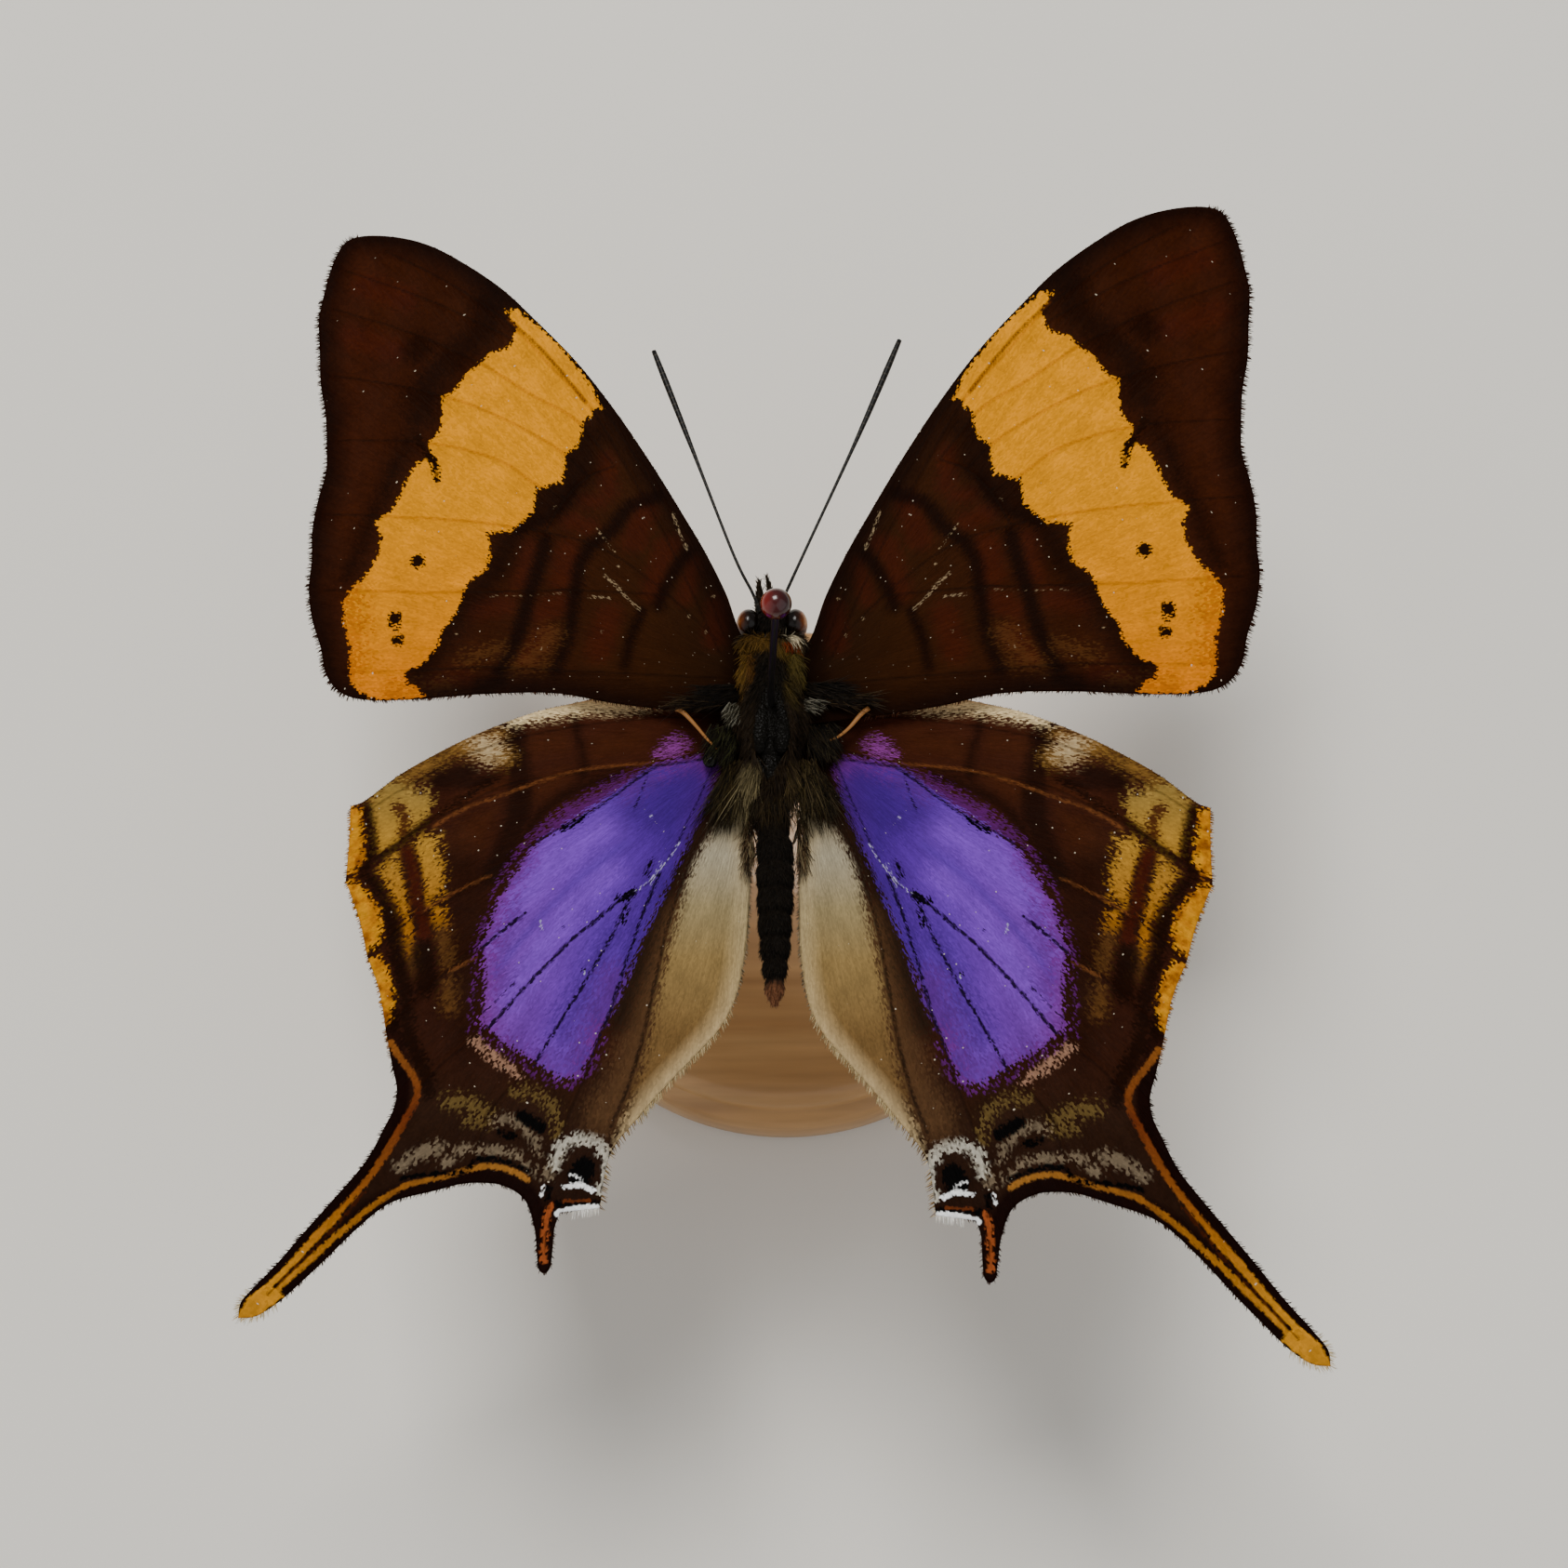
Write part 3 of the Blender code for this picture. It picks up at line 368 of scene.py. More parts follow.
        (0.12, [(9.05, 19.3), (9.1, 18.6), (9.5, 17.95), (10.1, 17.5), (10.85, 17.45)]),
    ],
    "margin": [
        (None, [(18.85, 4.1), (19.6, 4.0), (19.9, 5.6), (19.7, 7.2), (18.9, 7.15), (18.55, 6.5),
                (18.75, 5.2)]),
        (None, [(18.5, 7.9), (19.0, 7.6), (19.8, 7.6), (19.2, 9.2), (18.5, 10.9), (17.7, 10.8),
                (17.4, 10.2), (17.65, 9.0)]),
        (None, [(17.4, 11.25), (18.6, 11.1), (18.2, 12.9), (17.5, 14.5), (16.8, 14.3),
                (16.65, 13.2), (17.0, 12.0)]),
    ],
    "tail_line": [
        (0.15, [(16.65, 15.2), (16.0, 16.1), (15.4, 16.9), (15.25, 17.5), (15.65, 18.5),
                (16.7, 20.5), (17.8, 22.0), (19.4, 23.8), (21.0, 25.7), (22.4, 27.2)]),
        (0.13, [(18.6, 23.1), (20.2, 24.9), (21.6, 26.4)]),
        (None, [(21.9, 26.4), (22.9, 27.3), (23.3, 28.2), (22.3, 28.0), (21.2, 27.1)]),
    ],
    "tail_low": [
        (0.13, [(10.2, 21.35), (10.9, 20.95), (11.9, 20.75), (12.9, 20.9), (13.9, 21.2),
                (15.4, 21.55), (16.8, 22.4), (18.4, 23.8), (20.0, 25.3), (21.4, 26.7), (22.2, 27.5)]),
        (0.13, [(19.4, 24.8), (20.9, 26.2)]),
    ],
    "tail_split": [(0.05, [(17.4, 21.9), (18.4, 23.2), (20.0, 25.0), (21.9, 27.0)])],
    "short_tail": [(0.12, [(9.15, 22.5), (9.3, 23.3), (9.34, 24.8)])],
    "eye_spots": [
        (0.50, [(7.8, 20.9), (7.95, 21.2)]), (0.26, [(9.75, 19.1), (10.6, 18.55)]),
        (0.14, [(10.9, 19.5), (11.5, 19.25)]),
        (0.10, [(10.2, 20.95), (11.4, 20.5), (12.5, 20.5), (12.9, 20.9), (14.5, 21.1),
                (15.7, 21.25)]),
        (0.16, [(7.2, 22.35), (8.9, 22.45)]), (0.14, [(9.25, 21.7), (9.35, 22.1)]),
    ],
    "arcs": [
        (0.13, [(9.85, 20.1), (10.1, 19.35), (10.7, 18.85), (11.3, 18.65), (11.7, 18.85)]),
        (0.13, [(10.0, 20.95), (10.6, 20.4), (11.4, 20.1), (12.4, 20.07)]),
        (0.14, [(13.0, 19.95), (13.9, 20.6)]), (0.22, [(14.1, 19.9), (15.0, 20.15), (15.8, 20.7)]),
        (0.2, [(8.9, 20.4), (9.4, 21.2)]),
    ],
    "blush": [(0.17, [(10.9, 16.7), (11.7, 16.1), (12.8, 15.2)])],
    "anal_arc": [
        (0.20, [(6.9, 22.0), (6.8, 20.7), (7.1, 19.9), (7.6, 19.65), (8.3, 19.65), (8.85, 20.0),
                (9.0, 20.7)]),
    ],
    "white": [
        (0.10, [(7.35, 21.85), (7.9, 21.6), (8.6, 21.65)]), (0.06, [(7.9, 21.3), (8.35, 21.15)]),
        (0.20, [(7.2, 22.6), (8.0, 22.65), (8.8, 22.8)]), (0.06, [(9.5, 21.6), (9.56, 22.1)]),
    ],
    "red_bar": [(0.07, [(7.5, 22.25), (8.6, 22.28)])],
}


# Layers of scales, laid one over another: colour, marking, how soft and how frayed its
# edge is in millimetres, and how much it covers
FORE_LAYERS = {
    "browns": [
        ("#3b1508", "rufous", 0.40, 0.35, 0.75), ("#120602", "bars", 0.28, 0.25, 0.85),
        ("#170802", "shadow", 0.7, 0.4, 0.8), ("#5a3818", "ochre", 0.30, 1.0, 0.4),
    ],
    "spots": [
        ("#1c0a02", "band_dark", 0.05, 0.25, 1.0), ("#4a2204", "costal_line", 0.09, 0.05, 0.9),
        ("#a08a68", "rubbed", 0.03, 0.14, 0.6),
    ],
}
HIND_LAYERS = {
    "browns": [
        ("#3c1c0c", "rufous", 0.6, 0.4, 0.9), ("#230f06", "dim", 1.0, 0.4, 0.8),
        ("#1a0a04", "bars", 0.32, 0.25, 0.85), ("#7a5826", "drab", 0.45, 0.6, 0.88),
        ("#66522a", "moss", 0.20, 0.7, 0.7), ("#ecd29e", "hump", 0.35, 0.6, 0.9),
        ("#b8a078", "tan", 0.5, 0.9, 0.85),
    ],
    "bars": [
        ("#5c3c1a", "olive", 0.40, 0.6, 0.7), ("#3a1308", "gold_gap", 0.14, 0.4, 0.92),
        ("#170802", "shadow", 0.20, 0.4, 0.9), ("#70411f", "ridge", 0.09, 0.1, 0.75),
    ],
    "arcs": [
        ("#746550", "arcs", 0.16, 0.5, 0.72), ("#a07860", "blush", 0.12, 0.5, 0.7),
        ("#b8b2a2", "anal_arc", 0.16, 0.4, 0.8),
    ],
    "spots": [
        ("#3a1604", "tail_split", 0.05, 0.1, 0.85), ("#020101", "eye_spots", 0.08, 0.2, 1.0),
        ("#8a4420", "short_tail", 0.07, 0.2, 1.0), ("#5a2a12", "red_bar", 0.04, 0.1, 1.0),
        ("#f2f2f0", "white", 0.04, 0.1, 1.0), ("#4c341f", "inner_brown", 0.7, 0.5, 0.85),
        ("#1e130b", "dark_inner", 0.5, 0.5, 0.85),
    ],
    "violet": [
        ("#7844bc", "lilac", 0.9, 0.6, 0.75), ("#35176c", "deep", 1.1, 0.9, 0.75),
        # The crease layer is painted shade: a darker violet along the wing's crease
        ("#552578", "plum", 0.6, 0.9, 0.7), ("#4f2c90", "crease", 0.25, 0.1, 0.6),
        ("#64257c", "magenta_rim", 0.40, 1.2, 0.8), ("#0b0414", "lines", 0.04, 0.09, 0.95),
        ("#06020c", "blots", 0.04, 0.25, 1.0), ("#b8b0d4", "worn", 0.03, 0.16, 0.7),
    ],
    "dusts": [
        ("#8a3a94", "magenta", 0.12, 1.0, 0.8), ("#521860", "dust", 0.12, 0.8, 0.8),
    ],
}


# Shapes and shader nodes

def linear(colour):
    """A colour written as sRGB hex, turned linear for a shader."""
    channels = [int(colour[i:i + 2], 16) / 255 for i in (1, 3, 5)]
    return [c / 12.92 if c <= 0.04045 else ((c + 0.055) / 1.055) ** 2.4 for c in channels] + [1.0]


def add(tree, kind, settings=None, links=None):
    """Add a shader node, set its properties and sockets, and link its inputs."""
    node = tree.nodes.new("ShaderNode" + kind)
    for name, value in (settings or {}).items():
        if isinstance(name, str) and hasattr(node, name):
            setattr(node, name, value)
        elif name == "ramp":
            while len(node.color_ramp.elements) < len(value):
                node.color_ramp.elements.new(0.5)
            for element, (place, colour) in zip(node.color_ramp.elements, value):
                element.position = place
                element.color = linear(colour)
        else:
            node.inputs[name].default_value = value
    for name, socket in (links or {}).items():
        tree.links.new(socket, node.inputs[name])
    return node


def new_material(name):
    """An empty material with its tree."""
    material = bpy.data.materials.new(name)
    material.use_nodes = True
    return material, material.node_tree


def finish_material(material, links, numbers):
    """Link the shader's colour and what else varies, and set what stays the same."""
    tree = material.node_tree
    shader = tree.nodes["Principled BSDF"]
    for name, socket in links.items():
        tree.links.new(socket, shader.inputs[name])
    for name, value in numbers.items():
        shader.inputs[name].default_value = value
    return material


VALUES = {"FLOAT": "value", "FLOAT_VECTOR": "vector", "FLOAT_COLOR": "color"}


def write_values(mesh, name, kind, values):
    """Keep a number, a vector or a colour for each point of a mesh."""
    layer = mesh.attributes.new(name, kind, "POINT")
    layer.data.foreach_set(VALUES[kind], values.astype("f").ravel())


def read_places(mesh):
    """The places of a mesh's points, one a row."""
    places = np.empty(len(mesh.vertices) * 3, "f")
    mesh.vertices.foreach_get("co", places)
    return places.reshape(-1, 3)


def link_object(name, data):
    """A new object in the scene, for a mesh, a light or a camera."""
    obj = bpy.data.objects.new(name, data)
    bpy.context.scene.collection.objects.link(obj)
    return obj


def finish_piece(obj, replaced, materials):
    """Give a piece its materials and smooth shading, attach it to the root body, and hide the nodes
    that it stands for.
    """
    for material in materials:
        obj.data.materials.append(material)
    obj.data.shade_smooth()
    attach(obj, "root")
    if replaced:
        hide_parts(*replaced)
    return obj


def new_object(name, bm):
    """A mesh object from a bmesh in metres."""
    mesh = bpy.data.meshes.new(name)
    bm.to_mesh(mesh)
    bm.free()
    return link_object(name, mesh)


def smooth_line(points, step, closed=False):
    """Points about one step apart on a centripetal spline that stops at corners."""
    spots = [np.array(point[:2], float) for point in points]
    count = len(spots)
    if count == 1:
        return spots[0][None]
    line = []
    for i in range(count if closed else count - 1):
        j = (i + 1) % count
        p1, p2 = spots[i], spots[j]
        p0 = 2 * p1 - p2 if len(points[i]) > 2 or (i == 0 and not closed) else spots[i - 1]
        stops = len(points[j]) > 2 or (j == count - 1 and not closed)
        p3 = 2 * p2 - p1 if stops else spots[(i + 2) % count]
        t0 = 0.0
        t1 = t0 + math.sqrt(np.linalg.norm(p1 - p0))
        t2 = t1 + math.sqrt(np.linalg.norm(p2 - p1))
        t3 = t2 + math.sqrt(np.linalg.norm(p3 - p2))
        pieces = max(1, round(np.linalg.norm(p2 - p1) / step))
        t = (t1 + (t2 - t1) * np.arange(pieces) / pieces)[:, None]
        a1 = p0 * (t1 - t) / (t1 - t0) + p1 * (t - t0) / (t1 - t0)
        a2 = p1 * (t2 - t) / (t2 - t1) + p2 * (t - t1) / (t2 - t1)
        a3 = p2 * (t3 - t) / (t3 - t2) + p3 * (t - t2) / (t3 - t2)
        b1 = a1 * (t2 - t) / (t2 - t0) + a2 * (t - t0) / (t2 - t0)
        b2 = a2 * (t3 - t) / (t3 - t1) + a3 * (t - t1) / (t3 - t1)
        line.append(b1 * (t2 - t) / (t2 - t1) + b2 * (t - t1) / (t2 - t1))
    if not closed:
        line.append(spots[-1][None])
    return np.concatenate(line)


def inside(at, line):
    """Whether each point is within a closed line."""
    result = np.zeros(len(at), bool)
    x, y = at.T
    for a, b in zip(line, np.roll(line, -1, axis=0)):
        if a[1] != b[1]:
            crosses = (a[1] > y) != (b[1] > y)
            result ^= crosses & (x < a[0] + (y - a[1]) / (b[1] - a[1]) * (b[0] - a[0]))
    return result


def distance(at, line, closed=False):
    """Distance from each point to a line."""
    if len(line) == 1:
        return np.hypot(*(at - line[0]).T)
    nearest = np.full(len(at), np.inf)
    for a, b in zip(line if closed else line[:-1], np.roll(line, -1, axis=0)):
        along = b - a
        reach = np.clip((at - a) @ along / max(along @ along, 1e-12), 0, 1)
        offset = at - a - reach[:, None] * along
        nearest = np.minimum(nearest, np.einsum("ij,ij->i", offset, offset))
    return np.sqrt(nearest)


def field(at, shapes):
    """How far each point is within the nearest of a marking's shapes, in millimetres."""
    best = np.full(len(at), FAR_OUTSIDE)
    for half_width, points in shapes:
        if half_width is None:
            line = np.array(points, float)
            depth = distance(at, line, True) * np.where(inside(at, line), 1, -1)
        else:
            depth = half_width - distance(at, smooth_line(points, MARK_STEP))
        best = np.maximum(best, depth)
    return best


# Wings

def rise(out):
    """Height of a wing's arch at an outward place."""
    return ARCH * np.sin(np.pi * np.minimum(out / ARCH_SPAN, 1.0))


def fore_height(out, aft):
    """Height of a forewing over the wing roots."""
    return rise(out) + FORE_LIFT


def hind_height(out, aft):
    """Height of a hindwing over the wing roots, its inner fold bent down."""
    edge = (np.clip((FOLD_OUT[0] - out) / FOLD_OUT[1], 0, 1)
            * np.clip((aft - FOLD_AFT[0]) / FOLD_AFT[1], 0, 1))
    return rise(out) - HIND_DROP - FOLD_DROP * edge ** 2


# Each kind of wing: outline, height over the roots, hinge and sweep
WINGS = {
    "forewing": (FORE_OUTLINE, fore_height, FORE_HINGE, FORE_SWEEP),
    "hindwing": (HIND_OUTLINE, hind_height, HIND_HINGE, HIND_SWEEP),
}


def wing_matrix(side, hinge, sweep):
    """From wing millimetres about the hinge to the model's metres."""
    wide, drawn, moved = (FORE_SET if hinge == FORE_HINGE else HIND_SET)[side]
    droop = DROOP_LEFT if side > 0 else DROOP_RIGHT
    reach = hinge[0] - ROOT_X
    place = (side * (ROOT_X + reach * math.cos(droop)), hinge[1] + moved,
             WING_Z + reach * math.sin(droop))
    return (Matrix.Scale(MM, 4) @ Matrix.Translation(place)
            @ Matrix.Rotation(-side * droop, 4, "Y") @ Matrix.Rotation(sweep, 4, "Z")
            @ Matrix.Diagonal((side * wide, drawn, 1, 1))
            @ Matrix.Translation((-hinge[0], -hinge[1], 0)))


def place_on_wing(points, matrix, side):
    """Turn an array of (out, aft, height) millimetres into places in metres, tails worn."""
    turned = np.array(matrix)
    tail = (np.clip((points[:, 1] - TAIL_AFT[0]) / TAIL_AFT[1], 0, 1)
            * np.clip((points[:, 0] - TAIL_OUT[0]) / TAIL_OUT[1], 0, 1))
    points = points - tail[:, None] * TAIL_WAY * TAIL_WORN[side]
    return points @ turned[:3, :3].T + turned[:3, 3]


def wing_sheet(name, outline, veins, marks, height, step):
    """A flat-lying wing mesh in millimetres, with a field for each marking."""
    rim = smooth_line(outline, RIM_STEP, closed=True)
    low, high = rim.min(0) - step, rim.max(0) + step
    columns, rows = (int(n) for n in np.ceil((high - low) / step))
    bm = bmesh.new()
    bmesh.ops.create_grid(
        bm, x_segments=columns, y_segments=rows, size=0.5,
        matrix=Matrix.Translation((*(low + high) / 2, 0))
        @ Matrix.Diagonal((columns * step, rows * step, 1, 1)))
    centres = np.array([face.calc_center_median()[:2] for face in bm.faces])
    kept = inside(centres, rim)
    bmesh.ops.delete(bm, geom=[f for f, keep in zip(bm.faces, kept) if not keep], context="FACES")
    # Take faces away until no point joins two parts of the border
    pinched = True
    while pinched:
        pinched = [v for v in bm.verts if sum(e.is_boundary for e in v.link_edges) > 2]
        bmesh.ops.delete(bm, geom=list({f for v in pinched for f in v.link_faces}), context="FACES")
    # Draw the border to the rim and even out the faces beside it
    border = [v for v in bm.verts if v.is_boundary]
    for vert in border:
        vert.co.xy = rim[((np.array(vert.co[:2]) - rim) ** 2).sum(1).argmin()]
    near = {v for b in border for e in b.link_edges for v in e.verts}
    near |= {v for b in near for e in b.link_edges for v in e.verts}
    loose = list(near - set(border))
    for _ in range(4):
        bmesh.ops.smooth_vert(bm, verts=loose, factor=0.5, use_axis_x=True, use_axis_y=True)
    at = np.array([v.co[:2] for v in bm.verts])
    out, aft = at.T
    near_vein = np.min([distance(at, smooth_line(vein, VEIN_STEP)) for vein in veins], axis=0)
    rim_depth = distance(at, smooth_line(outline, VEIN_STEP, closed=True), True)
    calm = 1 - np.exp(-rim_depth / RIM_CALM)
    pleat = VEIN_RIDGE * np.exp(-(near_vein / VEIN_REACH) ** 2) * calm
    buckle = BUCKLE * np.sin(out * 1.9 + 0.7 * aft) * np.sin(aft * 1.3 - 0.4 * out) * calm
    z = height(out, aft) + pleat + buckle - SHEET_DROP
    for vert, level in zip(bm.verts, z):
        vert.co.z = level
    mesh = bpy.data.meshes.new(name)
    bm.to_mesh(mesh)
    bm.free()
    root = np.array(outline[0][:2]) + FLOW_ROOT
    reach = np.hypot(*(at - root).T)
    turn = np.arctan2(aft - root[1], out - root[0])
    fields = {"vein": near_vein, "rim": rim_depth}
    fields.update((mark, field(at, shapes)) for mark, shapes in marks.items())
    for mark, values in fields.items():
        write_values(mesh, mark, "FLOAT", values)
    level = np.zeros(len(at))
    write_values(mesh, "flow", "FLOAT_VECTOR", np.stack([reach, turn * FLOW_TURN, level], 1))
    write_values(mesh, "spread", "FLOAT_VECTOR", np.stack([out, aft, level], 1))
    return mesh, near_vein


def lay(tree, below, colour, mark, grain, soft, fray, cover=1.0):
    """Lay a colour where a marking's field is positive, its edge frayed scale by scale."""
    depth = add(tree, "Attribute", {"attribute_name": mark}).outputs["Fac"]
    frayed = add(tree, "Math", {"operation": "MULTIPLY_ADD", 1: fray}, {0: grain, 2: depth})
    shown = add(tree, "MapRange", {"interpolation_type": "SMOOTHSTEP", "From Min": -soft,
                                   "From Max": soft, "To Max": cover}, {"Value": frayed.outputs[0]})
    mixed = add(tree, "Mix", {"data_type": "RGBA"}, {0: shown.outputs[0], 6: below})
    if isinstance(colour, str):
        mixed.inputs[7].default_value = linear(colour)
    else:
        tree.links.new(colour, mixed.inputs[7])
    return mixed.outputs[2]


def lay_all(tree, below, layers, grain):
    """Lay the markings of a table one over another."""
    for colour, mark, soft, fray, cover in layers:
        below = lay(tree, below, colour, mark, grain, soft, fray, cover)
    return below


def scale_rows(tree):
    """Overlapping wing scales in rows: two random values, each one's slope and the rows."""
    flow = add(tree, "Attribute", {"attribute_name": "flow"})
    cell = add(tree, "Mapping", {"Scale": (1 / SCALE_LENGTH, 1 / SCALE_WIDTH, 1)},
               {"Vector": flow.outputs["Vector"]})
    tiles = add(tree, "TexVoronoi", {"voronoi_dimensions": "2D", "Scale": 1.0, "Randomness": 0.75},
                {"Vector": cell.outputs["Vector"]})
    random = add(tree, "SeparateColor", {}, {"Color": tiles.outputs["Color"]})
    grain = add(tree, "Math", {"operation": "SUBTRACT", 1: 0.5}, {0: random.outputs["Red"]})
    tilt = add(tree, "VectorMath", {"operation": "SUBTRACT"},
               {0: cell.outputs["Vector"], 1: tiles.outputs["Position"]})
    slope = add(tree, "SeparateXYZ", {}, {"Vector": tilt.outputs["Vector"]})
    return grain.outputs[0], random.outputs["Green"], slope.outputs["X"], flow.outputs["Vector"]


def dusted(tree, colour, value, low, high):
    """Vary a colour's brightness between two factors by a value from 0 to 1."""
    factor = add(tree, "MapRange", {"To Min": low, "To Max": high}, {"Value": value})
    return add(tree, "HueSaturation", {}, {"Color": colour, "Value": factor.outputs[0]}).outputs[0]


def along_places(tree, axis, low, high):
    """A value from 0 to 1 between two places along a wing axis, in millimetres."""
    spread = add(tree, "Attribute", {"attribute_name": "spread"})
    across = add(tree, "SeparateXYZ", {}, {"Vector": spread.outputs["Vector"]})
    return add(tree, "MapRange", {"From Min": low, "From Max": high},
               {"Value": across.outputs[axis]}).outputs[0]


def line_over(tree, below, colour, mark, near, far, cover):
    """Lay a soft colour where a distance attribute is under near, gone by far."""
    gap = add(tree, "Attribute", {"attribute_name": mark}).outputs["Fac"]
    shown = add(tree, "MapRange", {"From Min": near, "From Max": far, "To Min": cover,
                                   "To Max": 0.0}, {"Value": gap})
    return add(tree, "Mix", {"data_type": "RGBA", 7: linear(colour)},
               {0: shown.outputs[0], 6: below}).outputs[2]


def finish_wing(material, colour, shade, height, flow):
    """Give the scales' colours streaks, patches, pale specks, bump and a faint silky gloss."""
    tree = material.node_tree
    streaks = add(tree, "Mapping", {"Scale": (0.45, 4.5, 1)}, {"Vector": flow})
    streak = add(tree, "TexNoise", {"noise_dimensions": "2D", "Scale": 1.0, "Detail": 4.0,
                                    "Roughness": 0.6}, {"Vector": streaks.outputs["Vector"]})
    patch = add(tree, "TexNoise", {"noise_dimensions": "2D", "Scale": 0.8, "Detail": 4.0},
                {"Vector": flow})
    colour = dusted(tree, colour, shade, 0.87, 1.13)
    colour = dusted(tree, colour, streak.outputs["Fac"], 0.76, 1.24)
    colour = dusted(tree, colour, patch.outputs["Fac"], 0.80, 1.20)
    dust = add(tree, "TexVoronoi", {"voronoi_dimensions": "2D", "Scale": 1.5}, {"Vector": flow})
    pick = add(tree, "SeparateColor", {}, {"Color": dust.outputs["Color"]})
    size = add(tree, "MapRange", {"From Min": 0.72, "From Max": 1.0, "To Min": -0.03,
                                  "To Max": 0.07}, {"Value": pick.outputs["Red"]})
    shown = add(tree, "Math", {"operation": "SUBTRACT"},
                {0: size.outputs[0], 1: dust.outputs["Distance"]})
    speck = add(tree, "MapRange", {"From Max": 0.02, "To Max": 0.75}, {"Value": shown.outputs[0]})
    colour = add(tree, "Mix", {"data_type": "RGBA", 7: linear("#c9bda6")},
                 {0: speck.outputs[0], 6: colour}).outputs[2]
    fold = add(tree, "Math", {"operation": "MULTIPLY_ADD", 1: 6.0},
               {0: streak.outputs["Fac"], 2: height})
    bump = add(tree, "Bump", {"Strength": 0.5, "Distance": 0.02 * MM}, {"Height": fold.outputs[0]})
    return finish_material(material, {"Base Color": colour, "Normal": bump.outputs["Normal"]},
                           {"Roughness": 0.5, "Specular IOR Level": 0.015})


def forewing_scales():
    """Chitin scales, dark brown with an orange band: matt with a faint silky gloss."""
    material, tree = new_material("forewing_brown_orange_scales")
    grain, shade, height, flow = scale_rows(tree)
    out = along_places(tree, "X", 0.0, 22.0)
    aft = along_places(tree, "Y", -20.0, -1.0)
    colour = add(tree, "ValToRGB", {"ramp": [
        (0.03, "#080502"), (0.12, "#241307"), (0.25, "#2d1606"), (0.5, "#2f1405"),
        (0.75, "#2f1305"), (0.92, "#331507")]}, {"Fac": out}).outputs[0]
    colour = lay_all(tree, colour, FORE_LAYERS["browns"], grain)
    colour = line_over(tree, colour, "#130803", "vein", 0.02, 0.10, 0.55)
    colour = line_over(tree, colour, "#120602", "rim", 0.25, 1.5, 0.85)
    orange = add(tree, "ValToRGB", {"ramp": [
        (0.0, "#d58a00"), (0.5, "#d48800"), (0.8, "#cf7e00"), (1.0, "#c97000")]},
                 {"Fac": aft}).outputs[0]
    orange = line_over(tree, orange, "#a05a00", "vein", 0.01, 0.12, 0.7)
    orange = lay(tree, orange, "#a85802", "band_dust", grain, 0.5, 1.6, 0.7)
    colour = lay(tree, colour, orange, "band", grain, 0.035, 0.26)
    colour = lay_all(tree, colour, FORE_LAYERS["spots"], grain)
    return finish_wing(material, colour, shade, height, flow)


